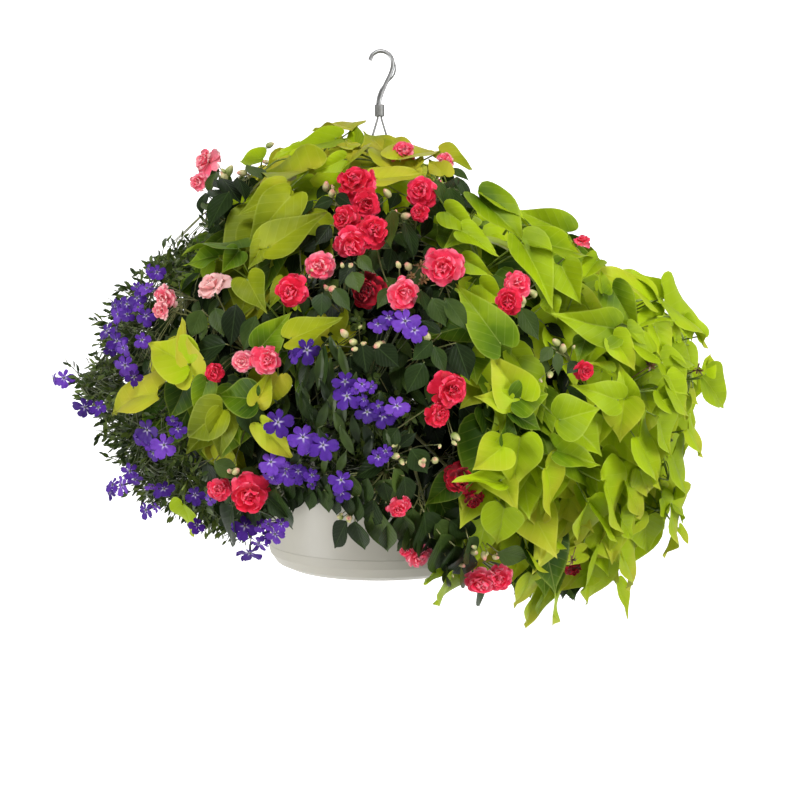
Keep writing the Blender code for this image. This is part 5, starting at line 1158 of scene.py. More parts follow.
def grow_filler(beds, ahead, share, small, deep, rng):
    """One leaf or shoot of the mass behind the listed leaves."""
    # A hollow on the front sits deeper, and its leaves take the darkest tint as painted shade
    if ahead[1] < 0.0 and not deep and in_hollow(*canopy_spot(ahead, 1.0)[:2]):
        share *= HOLLOW_SHARE
        deep = True
    found = filler_spot(ahead, share, small, deep, rng)
    if found is None:
        return
    kind, (px, py), base, tip, normal = found
    out = outward(base)
    length = gap_between(base, tip)
    plant, stem = beds[kind].nearest(base)
    if kind == "lime":
        bend = drawn(LIME_FILLER_BEND, rng)
        tint = lime_tone_and_shade(px, py, rng)
        # Painted shade: a deep lime leaf is held to fresh lime at most and darkened further
        if deep:
            tint = max(0.0, min(tint, FRESH) - SHADE_LOSS)
        width = length * rng.uniform(*LIME_WIDTHS)
        shape = ROUGH_HEART if deep else PLAIN_HEART
        lay_leaf(plant.piece, shape, base, tip, normal, width, bend, "lime_leaf", tint, rng)
        lay_petiole(plant.piece, stem, base, out * 0.5, LIME_FILLER_STALK)
    elif kind == "dark":
        bend = drawn(IMPATIENS_FILLER_BEND, rng)
        width = length * rng.uniform(*IMPATIENS_WIDTHS)
        tint = rng.random()
        if deep:
            tip = base + (tip - base) * DEEP_GROWTH[0]
            width *= DEEP_GROWTH[1]
            # Painted shade: a deep dark leaf gets the darkest tint
            tint = 0.0
        shape = ROUGH_OVATE if deep else PLAIN_OVATE
        lay_leaf(plant.piece, shape, base, tip, normal, width, bend, "impatiens_leaf", tint, rng)
        lay_petiole(plant.piece, stem, base, out * 0.5, IMPATIENS_FILLER_STALK)
    else:
        lay_shoot(plant.piece, stem, base, tip, out, rng)
        swing = scatter(TWIN_SWING, rng)
        lay_shoot(plant.piece, stem, base + swing * 0.5, base + (tip - base) * 0.9 + swing, out, rng)


# A lobelia shoot: arch, radii, gap between leaves and least number of them, their lengths and
# width, and how much shorter they are at the tip
SHOOT_ARCH = 0.006
SHOOT_RADII = (0.0008, 0.00045)
LANCE_GAP = 0.0040
LEAST_LANCES = 6
LANCE_LENGTHS = (0.010, 0.018)
LANCE_WIDTH = 0.44
LANCE_TAPER = 0.35
LONGEST_SHOOT = 0.055


def lay_shoot(piece, stem, base, tip, out, rng):
    """A thin lobelia shoot with narrow leaves up its last part."""
    line = eased((stem, (stem + base) * 0.5 + out * SHOOT_ARCH, base, tip), 9)
    lay_stalk(piece, line, *SHOOT_RADII, 3, "lobelia_stem")
    ahead = unit(tip - base)
    side = unit(np.cross(ahead, UP + np.array((0.01, 0.0, 0.0))))
    over = np.cross(ahead, side)
    count = max(LEAST_LANCES, int(gap_between(base, tip) / LANCE_GAP))
    turn = rng.uniform(0.0, TURN)
    for step in range(count):
        share = (step + 0.5) / count
        root = base + (tip - base) * share
        turn += GOLDEN_TURN
        aside = side * math.cos(turn) + over * math.sin(turn)
        lean = 1.0 if share < 0.85 else 0.4
        way = unit(ahead * rng.uniform(0.5, 0.9) + aside * lean)
        reach = rng.uniform(*LANCE_LENGTHS) * (1.0 - LANCE_TAPER * share)
        normal = unit(np.cross(np.cross(ahead, aside), way) + UP * 0.2)
        bend = drawn(LANCE_BEND, rng)
        lay_leaf(piece, TINY_LANCE, root, root + way * reach, normal, reach * LANCE_WIDTH, bend,
                 "lobelia_leaf", rng.random(), rng)


def grow_shoots(bed, rng):
    """The lobelia shoots whose tips the photo shows."""
    for px, py in SHOOT_TIPS:
        tip = place(px, py, front_depth(px, py) * 0.97)
        out = outward(tip)
        plant, stem = bed.nearest(tip)
        base = stem + (tip - stem) * 0.35
        if gap_between(base, tip) > LONGEST_SHOOT:
            base = tip + unit(base - tip) * LONGEST_SHOOT
        lay_shoot(plant.piece, stem, base, tip, out, rng)


# Blooms, flowers and buds

TO_VIEWER = 0.9
TO_OUTSIDE = 0.7


def head_facing(spot, side, rise):
    """Direction a head faces: out of the foliage, and partly to the viewer on the front."""
    if spot[1] > 0.0:
        return unit(outward(spot) + np.array((side, 0.0, rise)))
    return unit(unit(EYE - spot) * TO_VIEWER + outward(spot) * TO_OUTSIDE + np.array((side, 0.0, rise)))


def raised(aside, facing, degrees):
    """Direction and normal of a petal that lifts from flat towards the way its head faces."""
    lift = math.radians(degrees)
    way = aside * math.cos(lift) + facing * math.sin(lift)
    return way, facing * math.cos(lift) - aside * math.sin(lift)


WHORLS = (
    # petals, tilt up from flat in degrees, reach, width, start, curl, cup
    (5, 2.0, 1.02, 1.35, 0.05, -0.16, -0.10),
    (5, 20.0, 0.92, 1.20, 0.05, -0.06, 0.10),
    (4, 40.0, 0.76, 1.05, 0.05, 0.06, 0.35),
    (4, 58.0, 0.60, 0.84, 0.04, 0.16, 0.50),
    (3, 74.0, 0.46, 0.62, 0.02, 0.26, 0.70),
    (2, 86.0, 0.34, 0.44, 0.0, 0.30, 0.80),
)


# A bloom's disorder: its nod, how far its heart sits off the middle and how its petals sway, tilt
# and differ in curl, ruffle, length, width and paleness
BLOOM_NOD = 0.30
OFF_MIDDLE = (-0.16, 0.16)
HEART_STEP = 0.3
PETAL_SWAY = (-0.34, 0.34)
PETAL_TILTS = (-18.0, 18.0)
PETAL_CURLS = (-0.16, 0.16)
PETAL_RUFFLES = (0.06, 0.20)
PETAL_LENGTHS = (0.80, 1.06)
PETAL_WIDTHS = (0.85, 1.10)
PALE_SPREAD = (-0.14, 0.14)
SHUT_DEGREES = 16.0
RING_RISE = 0.05
RING_SINK = 0.20


def lay_bloom(piece, spot, facing, radius, pale, rng):
    """A double bloom: whorls of ruffled petals round a closed heart, half shut where it is pale."""
    facing = unit(facing + scatter(BLOOM_NOD, rng))
    shut = SHUT_DEGREES * max(pale, 0.0)
    side = unit(np.cross(cross_guide(facing), facing))
    over = np.cross(facing, side)
    turn = rng.uniform(0.0, TURN)
    heart = side * rng.uniform(*OFF_MIDDLE) + over * rng.uniform(*OFF_MIDDLE)
    for ring, (count, tilt, reach, width, start, curl, cup) in enumerate(WHORLS):
        turn += GOLDEN_TURN
        middle = spot + heart * (radius * HEART_STEP * ring)
        for step in range(count):
            angle = turn + TURN * step / count + rng.uniform(*PETAL_SWAY)
            aside = side * math.cos(angle) + over * math.sin(angle)
            lift = tilt + shut * (1.0 - tilt / 90.0) + rng.uniform(*PETAL_TILTS)
            way, normal = raised(aside, facing, lift)
            base = middle + aside * (start * radius) + facing * ((RING_RISE * ring - RING_SINK) * radius)
            length = radius * reach * rng.uniform(*PETAL_LENGTHS)
            bend = (cup, curl + rng.uniform(*PETAL_CURLS), rng.uniform(*PETAL_RUFFLES))
            tint = min(1.0, pale + rng.uniform(*PALE_SPREAD))
            broad = radius * width * rng.uniform(*PETAL_WIDTHS)
            tip = base + way * length
            lay_petal(piece, BLOOM_PETAL, base, tip, normal, broad, bend, "red_petal", tint, rng)


FLOWER_PETALS = (
    # degrees from up, reach, width, tilt back
    (30.0, 0.94, 0.54, 12.0), (-30.0, 0.94, 0.54, 12.0),
    (106.0, 1.14, 0.93, 4.0), (180.0, 1.18, 0.97, -6.0), (254.0, 1.14, 0.93, 4.0),
)


FLOWER_ROLL = (-0.5, 0.5)
FLOWER_NOD = 0.25
FLOWER_OPEN = 10.0
FLOWER_TILTS = (-8.0, 8.0)
LOBE_BEND = ((-0.6, 0.2), (-0.40, 0.15), 0.10)

# The tube behind a flower: its length and its waist as shares of the radius, where it starts and
# its radii
TUBE_LENGTH = 0.75
TUBE_WAIST = 0.3
TUBE_START = 0.0006
TUBE_RADII = (0.0016, 0.0010)


def lay_flower(piece, spot, facing, radius, rng):
    """A lobelia flower: two narrow upper petals, three broad lower ones and a short tube."""
    guide = cross_guide(facing, 0.95)
    roll = rng.uniform(*FLOWER_ROLL)
    tint = rng.random()
    facing = unit(facing + scatter(FLOWER_NOD, rng))
    side = unit(np.cross(facing, guide))
    over = np.cross(side, facing)
    for degrees, reach, width, back in FLOWER_PETALS:
        angle = math.radians(degrees) + roll
        aside = over * math.cos(angle) + side * math.sin(angle)
        way, normal = raised(aside, facing, -back + rng.uniform(*FLOWER_TILTS) + FLOWER_OPEN)
        tip = spot + way * (radius * reach)
        bend = drawn(LOBE_BEND, rng)
        lay_petal(piece, FLOWER_PETAL, spot, tip, normal, radius * width, bend, "violet_petal", tint, rng)
    tail = spot - facing * (TUBE_LENGTH * radius)
    line = (spot + facing * TUBE_START, spot - facing * (TUBE_WAIST * radius), tail)
    lay_stalk(piece, line, *TUBE_RADII, 6, "violet_tube")
    return tail


BUD_STRETCH = 1.65
CUP_STRETCH = 0.9
BUD_CUP = 0.62
BLOOM_CUP = 0.16
BLOOM_ROOT = 0.22


def lay_cup(piece, spot, ahead, radius):
    """The green cup under a bud or a bloom."""
    lay_ball(piece, spot, ahead, radius, CUP_STRETCH, "impatiens_stem", PLAIN_TINT)


def lay_bud(piece, spot, ahead, radius, pale):
    """A bud on a green cup."""
    lay_ball(piece, spot, ahead, radius, BUD_STRETCH, "bud_skin", pale)
    lay_cup(piece, spot - ahead * radius, ahead, radius * BUD_CUP)


def grow_blooms(bed, rng):
    """The double blooms, each spray one piece."""
    for name, heads in BLOOMS.items():
        side_of = -1.0 if name.endswith("_back") else 1.0
        spray = Piece(f"{name}_heads", [name])
        for px, py, radius_px, side, rise, pale in heads:
            lift = HEAD_LIFT if pale >= 0.0 else -HEAD_LIFT
            spot = place(px, py, (front_depth(px, py) - lift) * side_of)
            facing = head_facing(spot, side, rise)
            radius = radius_px * PX
            lay_bloom(spray, spot, facing, radius, pale, rng)
            root = spot - facing * (BLOOM_ROOT * radius)
            hang_head(spray, bed, root, -facing * 0.5, BLOOM_STALK)
            lay_cup(spray, root, facing, BLOOM_CUP * radius)
        sprays.append((spray, "red_petal"))


# Smaller flowers beside each listed one: how many, how far off, how large and how they turn
COMPANIONS = (0, 1, 1, 2)
COMPANION_GAPS = (0.9, 1.4)
COMPANION_SIZES = (0.55, 0.85)
COMPANION_SIDES = (-0.9, 0.9)
COMPANION_RISES = (-0.8, 0.8)
VIOLET_SIZE = 0.94


def hang_head(spray, bed, root, pull, stalk):
    """Join a head's root to the nearest stem."""
    lay_petiole(spray, bed.nearest(root)[1], root, pull, stalk)


def with_companions(heads, rng):
    """The listed flowers, with smaller ones tucked beside them."""
    made = list(heads)
    for px, py, radius, side, rise in heads:
        for _ in range(rng.choice(COMPANIONS)):
            turn = rng.uniform(0.0, TURN)
            gap = radius * rng.uniform(*COMPANION_GAPS)
            size = radius * rng.uniform(*COMPANION_SIZES)
            made.append((px + gap * math.cos(turn), py + gap * math.sin(turn), size,
                         side + rng.uniform(*COMPANION_SIDES), rise + rng.uniform(*COMPANION_RISES)))
    return made


def grow_violets(bed, rng):
    """The lobelia flowers, each spray one piece."""
    for name, heads in VIOLETS.items():
        side_of = -1.0 if name.endswith("_back") else 1.0
        spray = Piece(f"{name}_heads", [name])
        for px, py, radius_px, side, rise in with_companions(heads, rng):
            spot = place(px, py, (front_depth(px, py) - HEAD_LIFT) * side_of)
            facing = head_facing(spot, side, rise)
            tail = lay_flower(spray, spot, facing, radius_px * PX * VIOLET_SIZE, rng)
            hang_head(spray, bed, tail, -facing * 0.4, FLOWER_STALK)
        sprays.append((spray, "violet_petal"))


# Heads that the photo hides: how far back and how low they may sit, their margin to the outline,
# how far they stand out, and the sizes and numbers of each kind
BACK_START = 0.10
BACK_LOWEST = -0.70
BACK_MARGIN = 22.0
BACK_LIFT = 0.006
BACK_FLOWERS = 3
BACK_FLOWER_SPREAD = 0.010
BACK_FLOWER_SIZES = (0.010, 0.014)
BLOOM_IN_VINE = 0.14
BACK_BLOOM_SIZES = (0.014, 0.021)
BACK_PALES = (0.0, 0.1, 0.3, 0.6)


def grow_back_heads(beds, rng):
    """Blooms and flowers over the back and the sides, which the photo hides."""
    blooms = Piece("blooms_behind", [])
    violets = Piece("violets_behind", [])
    for ahead in even_directions(BACK_HEADS):
        if ahead[1] < BACK_START or ahead[2] < BACK_LOWEST:
            continue
        px, py, spot = canopy_spot(ahead, 1.0)
        if not is_inside(spot, BACK_MARGIN):
            continue
        kind = kind_at(px, py, rng)
        out = outward(spot)
        spot = spot + out * BACK_LIFT
        if kind == "thin":
            for _ in range(BACK_FLOWERS):
                here = spot + scatter(BACK_FLOWER_SPREAD, rng)
                radius = rng.uniform(*BACK_FLOWER_SIZES)
                tail = lay_flower(violets, here, unit(out + UP * 0.2), radius, rng)
                hang_head(violets, beds["thin"], tail, -out * 0.4, FLOWER_STALK)
        elif kind == "dark" or rng.random() < BLOOM_IN_VINE:
            radius = rng.uniform(*BACK_BLOOM_SIZES)
            lay_bloom(blooms, spot, unit(out + UP * 0.15), radius, rng.choice(BACK_PALES), rng)
            root = spot - out * (BLOOM_ROOT * radius)
            hang_head(blooms, beds["dark"], root, -out * 0.5, BLOOM_STALK)
    sprays.append((blooms, "red_petal"))
    sprays.append((violets, "violet_petal"))


# Buds come in twos, the second one smaller and a little aside; each leans its own way
BUD_LIFT = 0.008
TWIN_SHIFT = 0.0062
FIRST_BUD = 0.80
SECOND_BUD = (0.35, 0.60)
BUD_SIDES = (-0.7, 0.7)
BUD_RISES = (-0.9, 0.3)
BUD_PALES = (0.5, 1.0)
BUD_FOOT = 1.4


def grow_buds(bed, rng):
    """The small buds on their thin stalks."""
    for px, py, radius_px, pale in BUDS:
        spot = place(px, py, front_depth(px, py) - BUD_LIFT)
        plant, stem = bed.nearest(spot)
        for step in range(2):
            shift = scatter(TWIN_SHIFT, rng) * (step > 0)
            sway = np.array((rng.uniform(*BUD_SIDES), 0.0, rng.uniform(*BUD_RISES)))
            ahead = unit(outward(spot) * 0.6 + UP * 0.4 + sway)
            radius = radius_px * PX * (FIRST_BUD if step == 0 else rng.uniform(*SECOND_BUD))
            tone = pale * rng.uniform(*BUD_PALES)
            lay_bud(plant.piece, spot + shift, ahead, radius, tone)
            root = spot + shift - ahead * (BUD_FOOT * radius)
            lay_petiole(plant.piece, stem, root, -ahead * 0.4, BUD_STALK)


HUSKS = 14
HUSK_SPREAD = 0.7
HUSK_LENGTHS = (0.6, 1.1)
HUSK_WIDTH = 0.3


def grow_dried(bed, rng):
    """The few dried, brown heads."""
    for px, py, radius_px in DRIED:
        spot = place(px, py, front_depth(px, py) - HEAD_LIFT)
        out = outward(spot)
        reach = radius_px * PX
        plant, stem = bed.nearest(spot)
        for _ in range(HUSKS):
            way = unit(out * 0.5 + scatter(HUSK_SPREAD, rng))
            tip = spot + way * (reach * rng.uniform(*HUSK_LENGTHS))
            bend = drawn(HUSK_BEND, rng)
            normal = unit(out + UP * 0.3)
            lay_leaf(plant.piece, TINY_LANCE, spot, tip, normal, reach * HUSK_WIDTH, bend, "dry_husk",
                     PLAIN_TINT, rng)
        lay_petiole(plant.piece, stem, spot, -out * 0.4, HUSK_STALK)


# Hardware

ROD_STEPS = 6
ROD_SIDES = 16
WIRE_SIDES = 8
AXIS_GAP = 0.0004
SEAM_GAP = 0.00004
POT_COLUMNS = 128
POT_CORNER = (0.0005, 3)
SLEEVE_COLUMNS = 32
SLEEVE_CORNER = (0.0012, 4)
CORNER_SHARE = 0.25
CORNER_ROWS = 1.6


def lay_rod(piece, points, radius, sides, finish):
    """A round rod along a smooth line."""
    lay_stalk(piece, eased(points, ROD_STEPS * len(points)), radius, radius, sides, finish)


def on_ring(radius, degrees, height):
    """A place on a ring about the hanging axis."""
    turn = math.radians(degrees)
    return np.array((radius * math.cos(turn), radius * math.sin(turn), height))


def rounded(profile, corner, steps):
    """A profile whose corners are turned with a small radius, with a row on either side."""
    points = [np.array(spot, float) for spot in profile]
    made = [points[0]]
    for before, here, after in zip(points, points[1:], points[2:]):
        back = before - here
        ahead = after - here
        reach = min(corner, CORNER_SHARE * gap_between(here, before), CORNER_SHARE * gap_between(here, after))
        start = here + unit(back) * reach
        end = here + unit(ahead) * reach
        made.append(here + unit(back) * (reach * CORNER_ROWS))
        for step in range(steps + 1):
            t = step / steps
            made.append(start * (1 - t) ** 2 + here * (2 * t * (1 - t)) + end * t * t)
        made.append(here + unit(ahead) * (reach * CORNER_ROWS))
    made.append(points[-1])
    return made


def make_pot():
    """The tapered pot with its flanged rim, rounded at every edge."""
    pot = Piece("pot_shell", ["pot"])
    profile = (
        (AXIS_GAP, FLOOR_Z + WALL), (0.1010, FLOOR_Z + WALL), (0.1180, FLOOR_Z + 0.0085),
        (0.1300, SEAM_Z + 0.0120), (RIM_INNER, RIM_Z), (RIM_RADIUS, RIM_Z), (RIM_RADIUS, RIM_Z - 0.0040),
        (RIM_INNER + 0.0024, RIM_Z - 0.0056), (0.1345, SEAM_Z + 0.0012), (0.1344, SEAM_Z + SEAM_GAP),
        (0.1296, SEAM_Z + SEAM_GAP), (0.1190, FLOOR_Z + 0.0055), (0.1020, FLOOR_Z), (AXIS_GAP, FLOOR_Z),
    )
    lay_wall(pot, rounded(profile, *POT_CORNER), POT_COLUMNS, "pot_plastic")
    return pot


def make_saucer():
    """The drip saucer clipped under the pot, flush with its wall."""
    saucer = Piece("saucer_shell", ["saucer"])
    profile = (
        (AXIS_GAP, BASE_Z + WALL), (0.0985, BASE_Z + WALL), (0.1210, BASE_Z + 0.0100),
        (0.1304, SEAM_Z - SEAM_GAP), (0.1344, SEAM_Z - SEAM_GAP), (0.1343, SEAM_Z - 0.0010),
        (0.1320, BASE_Z + 0.0175), (0.1245, BASE_Z + 0.0068), (0.1120, BASE_Z + 0.0010), (0.1010, BASE_Z),
        (AXIS_GAP, BASE_Z),
    )
    lay_wall(saucer, rounded(profile, *POT_CORNER), POT_COLUMNS, "saucer_plastic")
    return saucer


SOIL_COLUMNS = 96
SOIL_ROWS = 30
SOIL_START = 0.0006
SOIL_WIDTH = 0.1385
SOIL_FALL = 0.004
LUMP_HEIGHTS = (0.0022, 0.0012)


def soil_lift(radius, turn):
    """Lumps in the top of the compost."""
    lumps = math.sin(31.0 * radius * 12.0 + 3.0 * turn) * math.sin(5.0 * turn + 170.0 * radius)
    return LUMP_HEIGHTS[0] * lumps + LUMP_HEIGHTS[1] * math.sin(13.0 * turn + 90.0 * radius)


def make_soil():
    """The lumpy compost."""
    soil = Piece("compost_bed", ["soil"])
    rows = [(SOIL_START + SOIL_WIDTH * step / SOIL_ROWS, SOIL_Z + SOIL_FALL - SOIL_FALL * step / SOIL_ROWS)
            for step in range(SOIL_ROWS + 1)]
    lay_wall(soil, rows, SOIL_COLUMNS, "compost", soil_lift)
    under = ((0.1391, SOIL_Z - 0.004), (0.1292, SEAM_Z + 0.0140), (0.1170, FLOOR_Z + 0.0100),
             (0.1000, FLOOR_Z + WALL + 0.0006), (SOIL_START, FLOOR_Z + WALL + 0.0006))
    lay_wall(soil, under, SOIL_COLUMNS, "compost")
    return soil


def make_hook():
    """The bright hook with its thin keeper wire and its crimp sleeve."""
    hook = Piece("hanger_hook", ["hook"])
    lay_rod(hook, [(x, 0.0, z) for x, z in HOOK_LINE], ROD_RADIUS, ROD_SIDES, "bright_steel")
    lay_rod(hook, KEEPER_LINE, KEEPER_RADIUS, WIRE_SIDES, "bright_steel")
    sleeve = ((AXIS_GAP, SLEEVE_TOP), (SLEEVE_RADIUS, SLEEVE_TOP), (SLEEVE_RADIUS, SLEEVE_BOTTOM),
              (AXIS_GAP, SLEEVE_BOTTOM))
    lay_wall(hook, rounded(sleeve, *SLEEVE_CORNER), SLEEVE_COLUMNS, "galvanised_steel")
    return hook


def make_wire(count, degrees):
    """One thin hanger wire, turned up under the rim."""
    wire = Piece(f"hanger_wire_{count + 1}", [f"wire_{count + 1}"])
    points = (
        on_ring(WIRE_RING, degrees, SLEEVE_BOTTOM + 0.004),
        on_ring(WIRE_RING, degrees, SLEEVE_BOTTOM - 0.002),
        on_ring(RIM_HOLE_RING - 0.0055, degrees, RIM_Z + 0.022),
        on_ring(RIM_HOLE_RING, degrees, RIM_Z + 0.008),
        on_ring(RIM_HOLE_RING, degrees, RIM_Z - 0.0085),
        on_ring(RIM_HOLE_RING + 0.0036, degrees, RIM_Z - 0.0115),
        on_ring(RIM_HOLE_RING + 0.0068, degrees, RIM_Z - 0.0075),
    )
    lay_stalk(wire, points, WIRE_RADIUS, WIRE_RADIUS, WIRE_SIDES, "galvanised_steel")
    return wire


# Finishes


def srgb(red, green, blue):
    """A colour given in the 0 to 255 steps of a screen, as light."""
    made = []
    for step in (red, green, blue):
        share = step / 255.0
        made.append(share / 12.92 if share <= 0.04045 else ((share + 0.055) / 1.055) ** 2.4)
    return (*made, 1.0)


class Reading:
    """A socket of a finish; arithmetic on it adds the nodes that work it out."""

    def __init__(self, finish, socket):
        self.finish = finish
        self.socket = socket

    def math(self, operation, first, second=None):
        """A Math node of this operation."""
        return self.finish.node("ShaderNodeMath", {"operation": operation}, (first, second))

    def __add__(self, other):
        return self.math("ADD", self, other)

    def __radd__(self, other):
        return self.math("ADD", other, self)

    def __sub__(self, other):
        return self.math("SUBTRACT", self, other)

    def __rsub__(self, other):
        return self.math("SUBTRACT", other, self)

    def __mul__(self, other):
        return self.math("MULTIPLY", self, other)

    def __rmul__(self, other):
        return self.math("MULTIPLY", other, self)

    def __abs__(self):
        return self.math("ABSOLUTE", self)

    def wave(self):
        """The sine of the value."""
        return self.math("SINE", self)

    def greater(self, other):
        """The greater of two values."""
        return self.math("MAXIMUM", self, other)

    def part(self):
        """What is left of the value past its whole number."""
        return self.math("FRACT", self)

    def below(self, limit, soft):
        """One under the limit and nought above it, with a soft step."""
        return self.finish.node("ShaderNodeMapRange", {"interpolation_type": "SMOOTHSTEP"},
                                {0: self, 1: limit - soft, 2: limit + soft, 3: 1.0, 4: 0.0})


def set_stops(ramp, stops):
    """Give a colour ramp its stops, with colours in screen steps."""
    while len(ramp.elements) > 1:
        ramp.elements.remove(ramp.elements[-1])
    ramp.elements[0].position = stops[0][0]
    ramp.elements[0].color = srgb(*stops[0][1])
    for position, colour in stops[1:]:
        ramp.elements.new(position).color = srgb(*colour)


class Finish:
    """One procedural finish, built from its nodes."""

    def __init__(self, name):
        self.material = bpy.data.materials.new(name)
        self.material.use_nodes = True
        self.nodes = self.material.node_tree.nodes
        self.links = self.material.node_tree.links
        self.nodes.clear()

    def node(self, kind, settings, inputs, output=0):
        """Add a node: its settings first, then the values or links of its sockets."""
        made = self.nodes.new(kind)
        for name, value in settings.items():
            if name == "stops":
                set_stops(made.color_ramp, value)
            else:
                setattr(made, name, value)
        pairs = inputs.items() if isinstance(inputs, dict) else enumerate(inputs)
        for key, value in pairs:
            if isinstance(value, Reading):
                self.links.new(value.socket, made.inputs[key])
            elif value is not None:
                made.inputs[key].default_value = value
        return Reading(self, made.outputs[output])

    def mark(self, name):
        """A value that the piece carries at its points."""
        return self.node("ShaderNodeAttribute", {"attribute_name": name}, (), 2)

    def place(self):
        """The place on the object, in metres."""
        return self.node("ShaderNodeTexCoord", {}, (), 3)

    def noise(self, scale, detail=3.0):
        """Even noise between nought and one over the object."""
        return self.node("ShaderNodeTexNoise", {}, {"Vector": self.place(), "Scale": scale, "Detail": detail})

    def ramp(self, value, stops):
        """A colour picked by a value."""
        return self.node("ShaderNodeValToRGB", {"stops": stops}, (value,))

    def blend(self, share, first, second):
        """Two colours mixed by a share."""
        return self.node("ShaderNodeMix", {"data_type": "RGBA"}, {0: share, 6: first, 7: second}, 2)

    def bump(self, height, strength, distance):
        """A normal raised by a height."""
        return self.node("ShaderNodeBump", {}, {"Strength": strength, "Distance": distance, "Height": height})

    def gloss(self, colour, settings):
        """The main shader with its colour and fixed values."""
        return self.node("ShaderNodeBsdfPrincipled", {}, {"Base Color": colour, **settings})

    def close(self, shader):
        """Send the shader to the surface and hand over the material."""
        made = self.nodes.new("ShaderNodeOutputMaterial")
        self.links.new(shader.socket, made.inputs["Surface"])
        return self.material


def thin_blade(finish, colour, through, share, settings):
    """A blade that glows with light from behind."""
    surface = finish.gloss(colour, settings)
    glow = finish.node("ShaderNodeBsdfTranslucent", {}, {"Color": through})
    mixed = finish.node("ShaderNodeMixShader", {}, {0: share, 1: surface, 2: glow})
    return finish.close(mixed)


def leaf_veins(finish, steps, slant, width):
    """Lines of the midrib and the side veins, one where a vein is, and the gap to the next vein."""
    along = finish.mark("along")
    aside = abs(finish.mark("across"))
    midrib = aside.below(width, width * 0.6)
    gap = abs(((along - aside * slant) * steps).part() - 0.5)
    veins = gap.below(0.045, 0.04) * 0.55
    return midrib.greater(veins), gap


def lime_leaf():
    """Lime to ochre sweet potato leaf with pale veins, painted shade towards its middle and base and a
    painted highlight along its rim.
    """
    finish = Finish("lime_leaf")
    veins, gap = leaf_veins(finish, 5.5, 0.80, 0.012)
    patches = finish.noise(38.0)
    # Painted shade: the tint falls towards the midrib and the stalk end, so each leaf is darker at its middle
    # and base and lighter towards its rim and tip; the patches are random tone
    tint = finish.mark("tint") + (patches - 0.5) * 0.22 + (finish.mark("edge") - 0.6) * 0.08
    tint = tint + (finish.mark("along") - 0.5) * 0.12
    # The lowest, darkest stops give the painted shade of the low tones
    colour = finish.ramp(tint, ((0.0, (46, 74, 8)), (0.14, (88, 118, 10)), (0.28, (140, 164, 14)),
                                (0.42, (163, 188, 16)), (0.56, (182, 188, 44)), (0.68, (182, 176, 48)),
                                (0.80, (152, 162, 24)), (0.96, (112, 126, 18))))
    # Painted highlight: a pale line along the leaf's rim; the pale veins are the leaf's own colour
    rim = 1.0 - finish.mark("edge").below(0.955, 0.035)
    colour = finish.blend(veins * 0.13 + rim * 0.15, colour, srgb(214, 222, 110))
    height = gap * finish.noise(30.0) + veins * -0.2 + finish.noise(110.0) * 0.5
    settings = {"Roughness": 0.48, "Specular IOR Level": 0.14, "Normal": finish.bump(height, 0.4, 0.0014)}
    return thin_blade(finish, colour, colour, 0.20, settings)


def impatiens_leaf():
    """Dark, glossy impatiens leaf with sunken veins."""
    finish = Finish("impatiens_leaf")
    veins, gap = leaf_veins(finish, 6.5, 1.0, 0.018)
    tint = finish.mark("tint") * 0.7 + finish.noise(60.0) * 0.4
    # The darkest stops are also the painted shade of the deep leaves, whose tint is nought
    colour = finish.ramp(tint, ((0.08, (12, 20, 7)), (0.32, (24, 36, 14)), (0.62, (40, 58, 22)),
                                (0.95, (72, 90, 36))))
    colour = finish.blend(veins * 0.24, colour, srgb(84, 108, 58))
    height = gap * 0.6 + veins * -0.5 + finish.noise(300.0) * 0.2
    settings = {"Roughness": 0.40, "Specular IOR Level": 0.14, "Normal": finish.bump(height, 0.4, 0.0008)}
    return thin_blade(finish, colour, finish.blend(0.5, colour, srgb(60, 96, 18)), 0.10, settings)


def lobelia_leaf():
    """Small green lobelia leaf, bronzed here and there."""
    finish = Finish("lobelia_leaf")
    tint = finish.mark("tint") * 0.6 + finish.noise(70.0) * 0.5
    colour = finish.ramp(tint, ((0.05, (20, 32, 12)), (0.30, (40, 56, 22)), (0.60, (66, 84, 34)),
                                (0.95, (106, 122, 54))))
    settings = {"Roughness": 0.42, "Specular IOR Level": 0.28}
    return thin_blade(finish, colour, colour, 0.18, settings)


def stem(name, dark, light):
    """A plant stem, streaked along its length."""
    finish = Finish(name)
    streaks = finish.noise(140.0)
    colour = finish.ramp(streaks, ((0.3, dark), (0.7, light)))
    settings = {"Roughness": 0.48, "Normal": finish.bump(streaks, 0.3, 0.0004)}
    return finish.close(finish.gloss(colour, settings))


def red_petal():
    """Red to pink petal, paler at its rim and veined finely, and painted darker as shade where its tint is
    below nought.
    """
    finish = Finish("red_petal")
    along = finish.mark("along")
    tint = finish.mark("tint")
    streaks = finish.noise(420.0, 2.0)
    rim = 1.0 - (along + finish.mark("edge") * 0.10).below(0.96, 0.12)
    pale = tint + rim * 0.26 + (streaks - 0.5) * 0.22
    # The darkest stop, reached by tints below nought, is painted shade for blooms in shadow
    colour = finish.ramp((pale + 0.5) * 0.66, ((0.05, (104, 6, 18)), (0.32, (224, 12, 52)),
                                               (0.50, (246, 50, 92)), (0.72, (250, 124, 150)),
                                               (0.96, (252, 208, 204))))
    settings = {"Roughness": 0.55, "Specular IOR Level": 0.25, "Sheen Weight": 0.25,
                "Normal": finish.bump(streaks, 0.25, 0.0005)}
    return thin_blade(finish, colour, colour, 0.28, settings)


